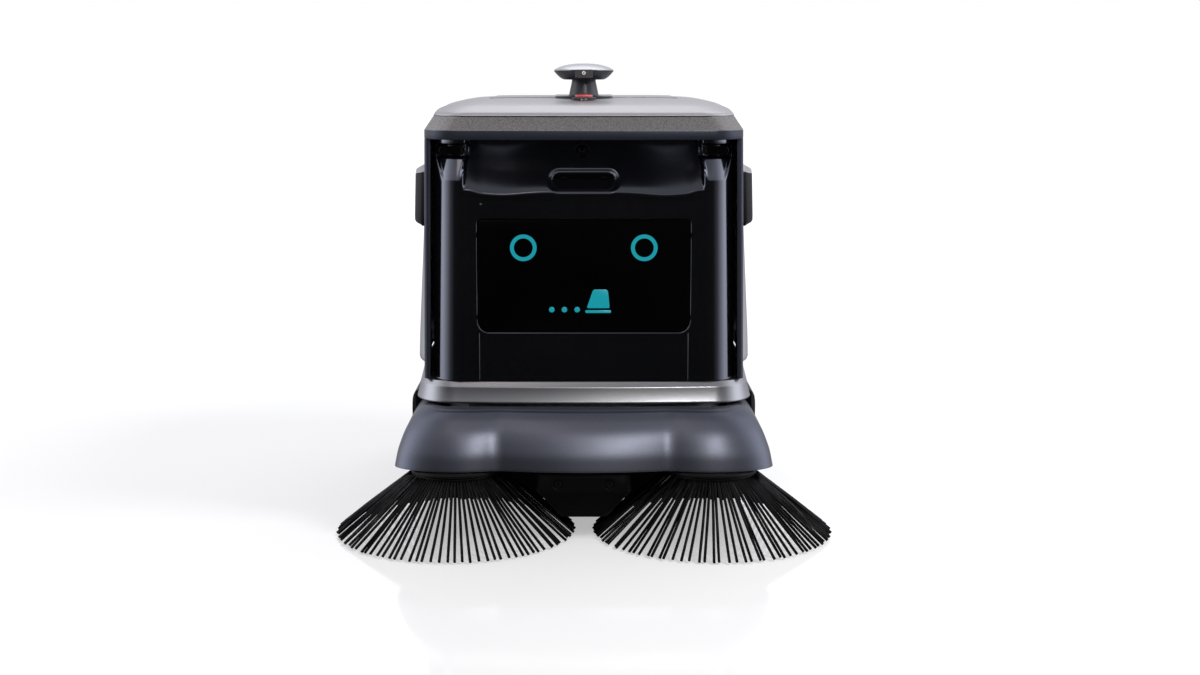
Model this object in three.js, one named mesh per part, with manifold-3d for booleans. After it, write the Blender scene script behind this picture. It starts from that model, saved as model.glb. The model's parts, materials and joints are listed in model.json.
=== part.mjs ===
// Commercial robotic floor sweeper: two side brooms, a main roller, a dust bin drawer,
// hub-motor drive wheels, rear swivel casters and a scanner turret on a crowned top.
// Millimetres, +Z up, front faces -Y, "left" is -X, origin on the floor under the middle.
import * as THREE from 'three';
import { mergeVertices } from 'three/addons/utils/BufferGeometryUtils.js';
import Module from 'manifold-3d';

const wasm = await Module();
wasm.setup();

const { clamp, degToRad } = THREE.MathUtils;

// ---- dimensions shared between sections ----
const FIT = 0.4; // clearance between neighbouring pieces
const FAR = 400; // reach of cutters that pass right through
const DECK = [212, 221.4];
const MOUNT_TOP = DECK[0] - FIT; // brackets hang just under the deck
const CABIN_FLOOR = 222;
const BODY = { z0: 260.6, z1: 670.4 };
const FACE = { z0: 262, ledge: 583, z1: 671 }; // heights at which the face dimensions are read
const CASTER = { x: 220, y: 350, radius: 38, trail: 25 };
const TURRET_Y = -70;
const ESTOP_Y = -145;
const FAN = { y: 312, radius: 75 };
const POWER_BUTTON = { x: 120, z: 600, radius: 10.4 };
const BIN = { half: 132, y0: 106, body: 432, y1: 444.6, z0: 56, z1: 196, faceHalf: 145, faceTop: 205 };

// ---- solid helpers ----
// Solid from a three.js geometry, with its faces wound outwards.
function solid(geometry) {
  geometry.deleteAttribute('normal');
  geometry.deleteAttribute('uv');
  const merged = mergeVertices(geometry, 1e-4);
  const positions = merged.attributes.position.array;
  const index = merged.index.array;
  const corner = (i) => new THREE.Vector3().fromArray(positions, 3 * i);
  const triangles = [];
  let volume = 0;
  for (let i = 0; i < index.length; i += 3) {
    const [a, b, c] = index.slice(i, i + 3);
    if (a === b || b === c || a === c) continue;
    triangles.push(a, b, c);
    volume += corner(a).dot(corner(b).cross(corner(c)));
  }
  if (volume < 0) {
    for (let i = 0; i < triangles.length; i += 3) {
      [triangles[i + 1], triangles[i + 2]] = [triangles[i + 2], triangles[i + 1]];
    }
  }
  return new wasm.Manifold(new wasm.Mesh({
    numProp: 3,
    vertProperties: new Float32Array(positions),
    triVerts: new Uint32Array(triangles),
  }));
}

function geometryOf(body) {
  const mesh = body.getMesh();
  const geometry = new THREE.BufferGeometry();
  const positions = new Float32Array(mesh.vertProperties);
  geometry.setAttribute('position', new THREE.BufferAttribute(positions, 3));
  geometry.setIndex(new THREE.BufferAttribute(new Uint32Array(mesh.triVerts), 1));
  geometry.computeVertexNormals();
  return geometry;
}

const join = (...bodies) => bodies.reduce((a, b) => a.add(b));
const cut = (body, ...tools) => tools.reduce((a, b) => a.subtract(b), body);
const around = (centre, half) => [centre - half, centre + half];
// Range from a to b, measured out from the centre on one side (sign -1 or 1).
const span = (sign, a, b, centre = 0) =>
  [centre + sign * a, centre + sign * b].sort((p, q) => p - q);

function box([x0, x1], [y0, y1], [z0, z1]) {
  const geometry = new THREE.BoxGeometry(x1 - x0, y1 - y0, z1 - z0);
  geometry.translate((x0 + x1) / 2, (y0 + y1) / 2, (z0 + z1) / 2);
  return solid(geometry);
}

// Cylinder along an axis; the centre holds the other two coordinates in X, Y, Z order.
function rod(axis, radius, [from, to], [c1, c2], segments) {
  const geometry = new THREE.CylinderGeometry(radius, radius, to - from, segments);
  const middle = (from + to) / 2;
  if (axis === 'x') {
    geometry.rotateZ(-Math.PI / 2);
    geometry.translate(middle, c1, c2);
  }
  if (axis === 'y') geometry.translate(c1, middle, c2);
  if (axis === 'z') {
    geometry.rotateX(Math.PI / 2);
    geometry.translate(c1, c2, middle);
  }
  return solid(geometry);
}

// Turned body about a vertical axis from [radius, z] points.
function lathe(profile, segments, x = 0, y = 0) {
  const points = profile.map(([r, z]) => new THREE.Vector2(r, z));
  const geometry = new THREE.LatheGeometry(points, segments);
  geometry.rotateX(Math.PI / 2);
  geometry.translate(x, y, 0);
  return solid(geometry);
}

// Closed body through rings of equal point count; capAxes are the two axes the ends are read in.
function loft(rings, capAxes = [0, 1]) {
  const count = rings[0].length;
  const index = [];
  for (let r = 0; r + 1 < rings.length; r++) {
    for (let i = 0; i < count; i++) {
      const a = r * count + i;
      const b = r * count + (i + 1) % count;
      index.push(a, b, b + count, a, b + count, a + count);
    }
  }
  const cap = (ringNumber, flip) => {
    const points = rings[ringNumber].map((p) => new THREE.Vector2(p[capAxes[0]], p[capAxes[1]]));
    const base = ringNumber * count;
    const turn = Math.sign(THREE.ShapeUtils.area(points));
    for (const [a, b, c] of THREE.ShapeUtils.triangulateShape(points, [])) {
      const toB = points[b].clone().sub(points[a]);
      const toC = points[c].clone().sub(points[a]);
      const swap = (Math.sign(toB.cross(toC)) !== turn) !== flip;
      index.push(base + a, base + (swap ? c : b), base + (swap ? b : c));
    }
  };
  cap(0, true);
  cap(rings.length - 1, false);
  const geometry = new THREE.BufferGeometry();
  const positions = new Float32Array(rings.flat(2));
  geometry.setAttribute('position', new THREE.BufferAttribute(positions, 3));
  geometry.setIndex(index);
  return solid(geometry);
}

const atX = (points, xOf) => points.map(([y, z]) => [xOf(y, z), y, z]);
const atZ = (points, z) => points.map(([x, y]) => [x, y, z]);
const loftX = (...rings) => loft(rings, [1, 2]);

// Straight prism of a polygon: axis x reads points as (y, z), y as (x, z), z as (x, y).
function prism(axis, points, [from, to]) {
  if (axis === 'x') return loftX(atX(points, () => from), atX(points, () => to));
  if (axis === 'z') return loft([atZ(points, from), atZ(points, to)]);
  return loft([from, to].map((y) => points.map(([x, z]) => [x, y, z])), [0, 2]);
}

// ---- outline helpers ----
const lerp = (a, b, t) => a + (b - a) * t;

// Piecewise straight lookup in rows of [z, value].
function lookup(rows, z) {
  if (z <= rows[0][0]) return rows[0][1];
  const i = rows.findIndex((row) => z <= row[0]);
  if (i < 0) return rows[rows.length - 1][1];
  const [[z0, v0], [z1, v1]] = [rows[i - 1], rows[i]];
  return lerp(v0, v1, (z - z0) / (z1 - z0));
}

// Arc points, angles in degrees.
const arc = (cx, cy, radius, from, to, steps) => Array.from({ length: steps + 1 }, (_, i) => {
  const angle = degToRad(lerp(from, to, i / steps));
  return [cx + radius * Math.cos(angle), cy + radius * Math.sin(angle)];
});

// Front edge, falling back by bow at both ends.
const bowedEdge = (half, front, bow, steps) => Array.from({ length: steps + 1 }, (_, i) => {
  const x = lerp(-half, half, i / steps);
  return [x, front + bow * (x / half) ** 2];
});

// Closed rounded plan with a slightly bowed front edge.
function plan({ half, front, back, frontR, rearR, bow = 0, cornerSteps = 3, frontSteps = 1 }) {
  const flat = half - frontR;
  const frontY = front + bow + frontR;
  const corner = (x, y, radius, from) => arc(x, y, radius, from, from + 90, cornerSteps);
  return [
    ...bowedEdge(flat, front, bow, frontSteps),
    ...corner(flat, frontY, frontR, -90).slice(1),
    ...corner(half - rearR, back - rearR, rearR, 0),
    ...corner(rearR - half, back - rearR, rearR, 90),
    ...corner(-flat, frontY, frontR, 180).slice(0, -1),
  ];
}

// Adds points at the given y levels on the straight flanks.
function insertAt(points, levels) {
  return points.flatMap((a, i) => {
    const b = points[(i + 1) % points.length];
    if (Math.abs(a[0] - b[0]) > 1e-6) return [a];
    const hits = levels.filter((y) => (y - a[1]) * (y - b[1]) < 0);
    hits.sort((p, q) => (b[1] > a[1] ? p - q : q - p));
    return [a, ...hits.map((y) => [a[0], y])];
  });
}

// The cabin widens towards the rear, up to SPREAD.end, by the fraction given.
const SPREAD = { start: -190, end: 100 };
const CABIN_SPREAD = 0.08;
const spread = (points, amount) => insertAt(points, [SPREAD.end]).map(([x, y]) => {
  const t = clamp((y - SPREAD.start) / (SPREAD.end - SPREAD.start), 0, 1);
  return [x * (1 + amount * t), y];
});

// ---- finishes ----
const SLATE = { color: 0x464852, roughness: 0.35, metalness: 0.8 };
const SILVER = { color: 0xb4b4ba, roughness: 0.3, metalness: 0.9 };
const LIGHT = { color: 0xd6d6da, roughness: 0.4, metalness: 0.6 };
const GLOSS = { color: 0x08080a, roughness: 0.05, metalness: 0 };
const FLAKE = { color: 0x3a3a42, roughness: 0.45, metalness: 0.7 };
const BLACK = { color: 0x141416, roughness: 0.5, metalness: 0 };
const RUBBER = { color: 0x18181a, roughness: 0.85, metalness: 0 };
const STEEL = { color: 0x9a9da2, roughness: 0.35, metalness: 1 };
const RED = { color: 0xc01818, roughness: 0.3, metalness: 0 };
const SCREEN = { color: 0x050608, roughness: 0.1, metalness: 0 };
const GREEN = { color: 0x2a6a50, roughness: 0.6, metalness: 0 };
const GREY = { color: 0x4a4c50, roughness: 0.5, metalness: 0.2 };
const WHITE = { color: 0xffffff, roughness: 1, metalness: 0 };

const object = new THREE.Group();
function add(name, body, finish) {
  const mesh = new THREE.Mesh(geometryOf(body), new THREE.MeshStandardMaterial(finish));
  mesh.name = name;
  object.add(mesh);
}
const SIDES = [['left', -1], ['right', 1]];

// ---- chassis frame: deck with fan port, bin rails, caster posts and dust strip holder ----
{
  const front = plan({ half: 240, front: -214, back: 0, frontR: 40, rearR: 10 });
  const rear = plan({ half: 270, front: -92, back: 415, frontR: 10, rearR: 40 });
  const rail = [[136, 183], [153, 183], [153, 214], [147, 214], [147, 189], [136, 189]];
  let frame = join(prism('z', front, DECK), prism('z', rear, DECK));
  frame = cut(frame, rod('z', 42, [200, 230], [0, FAN.y], 20));
  for (const [, sign] of SIDES) {
    frame = join(
      frame,
      rod('z', 20, [103.2, 214], [sign * CASTER.x, CASTER.y], 16),
      prism('y', rail.map(([x, z]) => [sign * x, z]), [108, 405]),
    );
  }
  add('chassis_frame', join(frame, box([-268, 268], [-29, -25.4], [62, 214])), STEEL);
}

// ---- lower side and rear skirt ----
{
  const FRONT_END = -96;
  const WALL = 6;
  // z, half width, back
  const outer = [[46, 300, 437], [60, 308, 445], [192, 308, 445], [207, 307, 444], [219.4, 301, 438]];
  const path = (half, back, radius) => [
    [-half, FRONT_END],
    ...arc(-half + radius, back - radius, radius, 180, 90, 6),
    ...arc(half - radius, back - radius, radius, 90, 0, 6),
    [half, FRONT_END],
  ];
  let skirt = loft(outer.map(([z, half, back]) =>
    atZ([...path(half, back, 62), ...path(half - WALL, back - WALL, 57).reverse()], z)));
  const binHalf = BIN.faceHalf + 2;
  skirt = cut(skirt, box([-binHalf, binHalf], [400, 470], [30, BIN.faceTop + 2]));
  // long recess along each flank
  for (const [, sign] of SIDES) {
    skirt = cut(skirt, box(span(sign, 305.5, 320), [-60, 365], [119, 133]));
  }
  add('side_skirt', skirt, FLAKE);
}

// ---- trim ring ----
{
  // inset, z
  const profile = [[2, CABIN_FLOOR], [0, 224], [3.4, 238], [5.8, 251], [11, 260]];
  const outline = (inset) => spread(plan({
    half: 290 - inset, front: -240 + inset, back: 427 - inset,
    frontR: 72 - inset, rearR: 60 - inset, bow: 8, cornerSteps: 8, frontSteps: 6,
  }), 0.052);
  const opening = plan({ half: 256, front: -204, back: 392, frontR: 40, rearR: 40 });
  const ring = loft(profile.map(([inset, z]) => atZ(outline(inset), z)));
  add('trim_ring', cut(ring, prism('z', opening, [200, 300])), SILVER);
}

// ---- body shell: light side and rear panels behind the slanted split ----
const splitY = (z) => -43 + (z - FACE.z0) * 137 / 384;
// z, value: half width, narrowing at the split, and back of the body
const BODY_HALF = [[260, 299], [400, 298.5], [583, 297.5], [640, 295.5], [671, 292]];
const BODY_FLARE = [[260, 12], [400, 9], [583, 6], [650, 2.5], [671, 1]];
const BODY_BACK = [[260, 421], [400, 416], [583, 404], [671, 395]];
{
  const BLEND = 56; // length over which the narrowing fades out behind the split
  // An inset shell runs past both ends of the full one.
  const shell = (inset, overrun) => {
    const levels = [BODY.z0, 330, 400, 500, FACE.ledge, BODY.z1];
    return loft(levels.map((z, i) => {
      const steps = [0, 20, 38, BLEND].map((d) => splitY(z) + d);
      const outline = insertAt(plan({
        half: lookup(BODY_HALF, z) - inset, front: -190, back: lookup(BODY_BACK, z) - inset,
        frontR: 30, rearR: 62 - inset, cornerSteps: 5,
      }), steps);
      const narrowed = outline.map(([x, y]) => {
        const t = clamp((y - splitY(z)) / BLEND, 0, 1);
        return [x - Math.sign(x) * lookup(BODY_FLARE, z) * (1 - t) ** 2, y];
      });
      const shift = i === 0 ? -overrun : i === levels.length - 1 ? overrun : 0;
      return atZ(narrowed, z + shift);
    }));
  };
  // slanted vent outline in (y, z), grown outwards
  const vent = (growY, growZ) => [
    [55 - growY, 338 - growZ], [88 + growY, 338 - growZ],
    [193 + growY, 594 + growZ], [160 - growY, 594 + growZ],
  ];
  const wall = cut(shell(0, 0), shell(6, 5));
  const frontCut = [[-FAR, 200], [splitY(200) + 0.5, 200], [splitY(720) + 0.5, 720], [-FAR, 720]];
  const sides = cut(
    wall,
    prism('x', frontCut, [-FAR, FAR]),
    box([-190.4, 190.4], [250, 500], [200, 720]),
    prism('x', vent(0, 0), [-FAR, FAR]),
  );
  for (const [side, sign] of SIDES) {
    const half = box(span(sign, 0, FAR), [-FAR, 500], [200, 720]);
    add(`side_panel_${side}`, sides.intersect(half), LIGHT);
    const layer = (points, offset) =>
      atX(points, (y, z) => sign * (lookup(BODY_HALF, z) + offset));
    const backing = vent(7, 6);
    const plug = vent(-0.6, -0.6);
    add(`side_vent_${side}`, join(
      loftX(layer(backing, -16), layer(backing, -7)),
      loftX(layer(plug, -9), layer(plug, -2.5)),
    ), BLACK);
  }

  const { x, z, radius } = POWER_BUTTON;
  let rear = wall.intersect(box([-189.6, 189.6], [300, 500], [200, 720]));
  rear = cut(rear, rod('y', radius + 0.6, [380, 430], [x, z], 20));
  for (let i = 0; i < 5; i++) {
    const slotZ = 380 + i * 16;
    rear = cut(rear, box([-80, 80], [380, 440], [slotZ, slotZ + 8]));
  }
  add('rear_panel', rear, LIGHT);
}

// ---- dark frame: brow band all round the top and two side legs ----
{
  const profile = [[0, FACE.z1], [0, 687], [15.5, 710]]; // inset, z
  const outline = (inset) => spread(plan({
    half: 270.5 - inset, front: -240 + inset, back: 396 - inset,
    frontR: 58 - inset * 0.6, rearR: 62 - inset, bow: 4, cornerSteps: 6, frontSteps: 4,
  }), CABIN_SPREAD);
  const opening = plan({ half: 236, front: -170, back: 360, frontR: 30, rearR: 40 });
  let frame = loft(profile.map(([inset, z]) => atZ(outline(inset), z)));
  frame = cut(frame, prism('z', opening, [660, 720]));

  const LEG_FRONT = -205;
  const LEG_TOP = 672;
  const leg = [
    [LEG_FRONT, BODY.z0], [splitY(BODY.z0) - 0.6, BODY.z0],
    [splitY(LEG_TOP) - 0.6, LEG_TOP], [LEG_FRONT, LEG_TOP],
  ];
  const outerX = (y, z) => (y > -200
    ? lookup(BODY_HALF, z) - lookup(BODY_FLARE, z) - 0.3
    : lerp(275, 269.4, (z - FACE.z0) / (FACE.z1 - FACE.z0)));
  for (const [, sign] of SIDES) {
    const layer = (offset) => atX(leg, (y, z) => sign * (outerX(y, z) + offset));
    frame = join(frame, loftX(layer(-10.4), layer(0)));
  }
  add('brow_frame', frame, FLAKE);
}

// ---- front fascia with display, forehead scoop and camera openings ----
{
  const DISPLAY = { half: 180.5, z0: 345, z1: 537 };
  const DEPTH_SLOT = { half: 57.6, z0: 585, z1: 617 };
  const CAMERA = { hole: 9.4, centre: [-3, 650] };
  const SLOT_BACK = -176;
  const SENSOR = { x0: 203, x1: 245, back: -186, z0: 641, z1: 659 };
  // forehead scoop: z, half width, floor y
  const SCOOP = [
    [583, 186, -223.6], [588, 188, -214], [600, 191, -205],
    [622, 195, -196], [648, 199, -189], [676, 202, -184],
  ];

  const faceY = (z) => lerp(-228, -222, Math.min(1, (z - FACE.z0) / (FACE.ledge - FACE.z0)));
  const faceHalf = (z) => lerp(261, 256, (z - FACE.z0) / (FACE.z1 - FACE.z0));
  // Outline over the front, closed by a straight line between its rear ends.
  const outline = (half, front, radius, end) => {
    const [flat, bow] = [half - radius, 2];
    const cornerY = front + bow + radius;
    return [
      [-half, end],
      ...arc(-flat, cornerY, radius, 180, 270, 8),
      ...bowedEdge(flat, front, bow, 4).slice(1, -1),
      ...arc(flat, cornerY, radius, -90, 0, 8),
      [half, end],
    ];
  };
  const levels = [BODY.z0, FACE.ledge, BODY.z1];
  const face = loft(levels.map((z) => atZ(outline(faceHalf(z), faceY(z), 52, -128), z)));
  const inside = loft(levels.map((z, i) =>
    atZ(outline(faceHalf(z) - 6, faceY(z) + 7, 46, -100), z + (i - 1) * 5)));
  let fascia = cut(face, inside);
  fascia = join(fascia, face.intersect(box([-254, 254], [-240, -172], [577, 675])));

  const { half, z0, z1 } = DISPLAY;
  const seat = [[-300, z0], [faceY(z0) + 4, z0], [faceY(z1) + 4, z1], [-300, z1]];
  const slot = DEPTH_SLOT;
  fascia = cut(
    fascia,
    prism('x', seat, [-half, half]),
    loft(SCOOP.map(([z, w, y]) => atZ([
      [-w, -300], [w, -300], [w - 12, y - 6], [w - 26, y], [-w + 26, y], [-w + 12, y - 6],
    ], z))),
    box([-slot.half, slot.half], [-260, SLOT_BACK], [slot.z0, slot.z1]),
    rod('y', CAMERA.hole, [-230, SLOT_BACK], CAMERA.centre, 16),
  );

  // corner scoops, each with a sensor in a pocket
  const cornerScoop = [[-260, 661], [-201, 661], [-201, 640], [-216, 618], [-260, 618]];
  const sensorBox = (sign, gap, front) => box(
    span(sign, SENSOR.x0 + gap, SENSOR.x1 - gap),
    [front, SENSOR.back - gap],
    [SENSOR.z0 + gap, SENSOR.z1 - gap],
  );
  for (const [side, sign] of SIDES) {
    const scoop = prism('x', cornerScoop, span(sign, 199.5, 248.5));
    fascia = cut(fascia, scoop, sensorBox(sign, 0, -210));
    add(`corner_sensor_${side}`, sensorBox(sign, FIT, -202), SCREEN);
  }
  add('front_fascia', fascia, GLOSS);

  const slab = [
    [faceY(z0) + 1.6, z0 + FIT], [faceY(z0) + 3.6, z0 + FIT],
    [faceY(z1) + 3.6, z1 - FIT], [faceY(z1) + 1.6, z1 - FIT],
  ];
  add('display_panel', prism('x', slab, [-half + FIT, half - FIT]), SCREEN);
  add('depth_camera', cut(
    box(around(0, slot.half - FIT), [-196, SLOT_BACK - FIT], [slot.z0 + FIT, slot.z1 - FIT]),
    ...[-32, 32].map((x) => rod('y', 7, [-200, -190], [x, 601], 12)),
  ), SCREEN);
  const lens = rod('y', CAMERA.hole - FIT, [-186, SLOT_BACK - FIT], CAMERA.centre, 16);
  add('front_camera', lens, SCREEN);
}

// ---- crowned top cover with the service hatch ----
{
  const HINGE = { y: 332, z: 736, half: 56 };
  // inset, z
  const CROWN = [
    [0, 710.8], [1.5, 714.5], [15, 721.5], [34, 728.8], [66, 735], [110, 737.4], [150, 738],
  ];
  const crown = (lift, inset) => loft(CROWN.map(([step, z]) => {
    const radius = Math.max(56 - step * 0.25, 20);
    const outline = plan({
      half: 255 - step - inset, front: -225 + step + inset, back: 381 - step - inset,
      frontR: radius, rearR: radius, bow: 4, cornerSteps: 4, frontSteps: 2,
    });
    return atZ(spread(outline, CABIN_SPREAD), z + lift);
  }));
  // Hatch outline, passing round the turret; the gap shrinks it.
  const hatchPlan = (gap) => [
    [-168 + gap, -44 + gap],
    ...arc(0, TURRET_Y, 57 + gap, 152, 28, 8),
    [168 - gap, -44 + gap],
    [168 - gap, 318 - gap],
    [-168 + gap, 318 - gap],
  ];
  add('top_cover', cut(
    crown(0, 0),
    crown(-4.5, 5),
    box([-238, 238], [-208, 364], [700, 716]),
    prism('z', hatchPlan(0), [700, 760]),
    rod('z', 7, [700, 760], [0, ESTOP_Y], 16),
    box([-60, 60], [316, 344], [729, 760]), // seat for the hatch hinge
  ), LIGHT);
  const hingeX = [-HINGE.half, HINGE.half];
  add('top_hatch', join(
    crown(1.4, 0).intersect(prism('z', hatchPlan(1.2), [731.5, 760])),
    box(hingeX, [310, HINGE.y], [733.6, 738.4]),
    rod('x', 3.6, hingeX, [HINGE.y, HINGE.z], 12),
  ), GREY);
}

// ---- scanner turret ----
{
  // radius, z
  const PEDESTAL = [
    [0, 738.8], [51, 738.8], [51, 741.6], [25.6, 742.6], [20.6, 769.6], [35.6, 770.4],
    [45, 776], [52.5, 785], [51.4, 786.4], [44, 779], [34, 774], [0, 774],
  ];
  const CAP = [
    [0, 798], [18, 797.4], [34, 794.8], [46, 790.4], [51.6, 786.9], [47.6, 786.9],
    [34, 791], [0, 794],
  ];
  const notch = (top) => box([-15.8, 15.8], [-140, TURRET_Y - 30], [772.6, top]);
  add('turret_pedestal', cut(lathe(PEDESTAL, 24, 0, TURRET_Y), notch(790)), FLAKE);
  add('turret_cap', cut(lathe(CAP, 24, 0, TURRET_Y), notch(787.8)), SILVER);
  add('turret_camera', join(
    box([-15.3, 15.3], [TURRET_Y - 52, TURRET_Y - 31], [773.2, 787.4]),
    rod('y', 4.4, [TURRET_Y - 53.4, TURRET_Y - 50], [0, 781.6], 16),
  ), GREY);
  add('lidar_rotor', join(
    rod('z', 24, [776.4, 787], [0, TURRET_Y], 20),
    rod('z', 12, [774.5, 777], [0, TURRET_Y], 16),
  ), BLACK);
}

// ---- emergency stop ----
{
  // radius, z
  const collar = [[16.6, 738.2], [21, 738.2], [20, 740.4], [16.6, 740.4], [16.6, 738.2]];
  const head = [[0, 740.6], [14, 740.6], [15.6, 741.2], [15.6, 743.6], [13.6, 745], [0, 745.4]];
  add('estop_collar', lathe(collar, 24, 0, ESTOP_Y), SILVER);
  add('estop_stem', rod('z', 6, [712, 740.2], [0, ESTOP_Y], 16), WHITE);
  add('estop_head', lathe(head, 24, 0, ESTOP_Y), RED);
}

// ---- side sensor pods: outlines in (y, z) ----
for (const [side, sign] of SIDES) {
  const base = [[66, 500], [104, 497], [136, 604], [112, 613], [96, 600]];
  const outer = [[78, 513], [100, 505], [128, 590], [118, 604], [104, 598]];
  const layer = (points, x) => atX(points, () => sign * x);
  const pod = loftX(layer(base, 299), layer(base, 302), layer(outer, 316));
  add(`side_pod_${side}`, pod, LIGHT);
}

// ---- inner frame: top ring on four posts ----
{
  let frame = cut(
    box([-246, 246], [-160, 350], [652, 668]),
    box([-226, 226], [-140, 330], [640, 680]),
  );
  for (const x of [-236, 236]) {
    for (const y of [-150, 340]) {
      frame = join(frame, box(around(x, 10), around(y, 10), [221.8, 668]));
    }
  }
  add('inner_frame', frame, STEEL);
}

// ---- battery with a carrying handle ----
add('battery_pack', join(
  box([-150, 150], [60, 230], [CABIN_FLOOR, 410]),
  box([-60, -50], [135, 155], [410, 430]),
  box([50, 60], [135, 155], [410, 430]),
  box([-60, 60], [135, 155], [426, 434]),
), GREEN);

// ---- control box with upright grooves in its front ----
{
  let body = box([-120, 120], [-100, 30], [CABIN_FLOOR, 390]);
  for (let i = 0; i < 6; i++) {
    const x = -100 + i * 36;
    body = cut(body, box([x, x + 18], [-110, -92], [240, 370]));
  }
  add('control_box', body, GREY);
}

// ---- suction fan ----
{
  const { y, radius } = FAN;
  add('fan_housing', cut(
    rod('z', radius, [CABIN_FLOOR, 292], [0, y], 28),
    rod('z', radius - 6, [228, 286], [0, y], 28),
    rod('z', 40, [215, 235], [0, y], 20),
    box([-40, 40], [y + 40, y + 90], [236, 280]),
  ), BLACK);

  const BLADES = 8;
  let impeller = join(rod('z', 62, [238, 242], [0, y], 24), rod('z', 14, [238, 276], [0, y], 16));
  for (let i = 0; i < BLADES; i++) {
    const blade = new THREE.BoxGeometry(46, 3, 30);
    blade.translate(36, 0, 257);
    blade.rotateZ(i * 2 * Math.PI / BLADES);
    blade.translate(0, y, 0);
    impeller = join(impeller, solid(blade));
  }
  add('fan_impeller', impeller, GREY);
}

// ---- main roller, its housing, motor and belt ----
{
  const ROLLER = { y: 40, z: 52, radius: 49.5, core: 27, half: 168 };
  const MOTOR_Z = 160;
  const HOUSING = { half: 182, outer: 62, inner: 56, end: 6 };
  const PULLEY_X = [185, 195];
  const BIG_PULLEY = 20;
  const SMALL_PULLEY = 12;
  const axis = [ROLLER.y, ROLLER.z];
  const motorAxis = [ROLLER.y, MOTOR_Z];
  const standY = around(ROLLER.y, 10);

  const profile = [
    ...arc(...axis, HOUSING.outer, 196, 24, 12),
    ...arc(...axis, HOUSING.inner, 24, 196, 12),
  ];
  const endPlate = rod('x', HOUSING.outer, [0, HOUSING.end], axis, 24)
    .intersect(box([-10, 20], [-60, 140], [18, 140]));
  let housing = join(
    prism('x', profile, [-HOUSING.half, HOUSING.half]),
    endPlate.translate([HOUSING.half - HOUSING.end, 0, 0]),
    endPlate.translate([-HOUSING.half, 0, 0]),
  );
  housing = cut(housing, rod('x', 9, [-200, 200], axis, 12));
  for (const x of [-75, 60]) {
    housing = join(housing, box([x, x + 15], standY, [110, MOUNT_TOP]));
  }
  add('roller_housing', housing, FLAKE);

  // Spiral bristle rows round a core.
  const STEPS = 6;
  const ROWS = 6;
  // angle from the row's middle in degrees, radius
  const row = [[-12, ROLLER.core], [-8, ROLLER.radius], [8, ROLLER.radius], [12, ROLLER.core]];
  const rings = Array.from({ length: STEPS + 1 }, (_, i) => {
    const x = lerp(-ROLLER.half, ROLLER.half, i / STEPS);
    const twist = lerp(-40, 40, i / STEPS);
    return Array.from({ length: ROWS }, (_, j) => row.map(([offset, radius]) => {
      const angle = degToRad(j * 360 / ROWS + offset + twist);
      return [x, ROLLER.y + radius * Math.cos(angle), ROLLER.z + radius * Math.sin(angle)];
    })).flat();
  });
  add('main_roller', join(
    loftX(...rings),
    rod('x', 8, [-182, 196], axis, 12),
    rod('x', BIG_PULLEY, PULLEY_X, axis, 20),
  ), BLACK);
  add('roller_motor', join(
    rod('x', 28, [92, 176], motorAxis, 24),
    box([115, 155], standY, [180, MOUNT_TOP]),
  ), STEEL);
  add('motor_pulley', join(
    rod('x', SMALL_PULLEY, PULLEY_X, motorAxis, 20),
    rod('x', 5, [176.6, 186], motorAxis, 12),
  ), STEEL);
  const beltLoop = (gap) => [
    ...arc(...axis, BIG_PULLEY + gap, 184, 356, 12),
    ...arc(...motorAxis, SMALL_PULLEY + gap, 4, 176, 10),
  ];
  add('drive_belt', cut(
    prism('x', beltLoop(FIT + 2.2), [186, 194]),
    prism('x', beltLoop(FIT), [180, 200]),
  ), RUBBER);
}

// ---- front dust strip, and nose housing between the brooms ----
add('front_skirt', box([-290, 290], [-32.6, -29.4], [3, 72]), RUBBER);
{
  const BACK = -206;
  const ring = (w, front, z, chamfer) => atZ([
    [-w, front + chamfer], [-w + chamfer, front], [w - chamfer, front], [w, front + chamfer],
    [w, BACK], [-w, BACK],
  ], z);
  const nose = join(
    loft([ring(40, -280, 34, 10), ring(80, -284, 78, 12), ring(80, -284, 112, 12)]),
    box([-48, 48], [-226, BACK], [105, MOUNT_TOP]),
  );
  const holes = [-44, 44].map((x) => rod('y', 3.4, [-300, -276], [x, 92], 12));
  add('front_nose', cut(nose, ...holes), BLACK);
}

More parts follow.
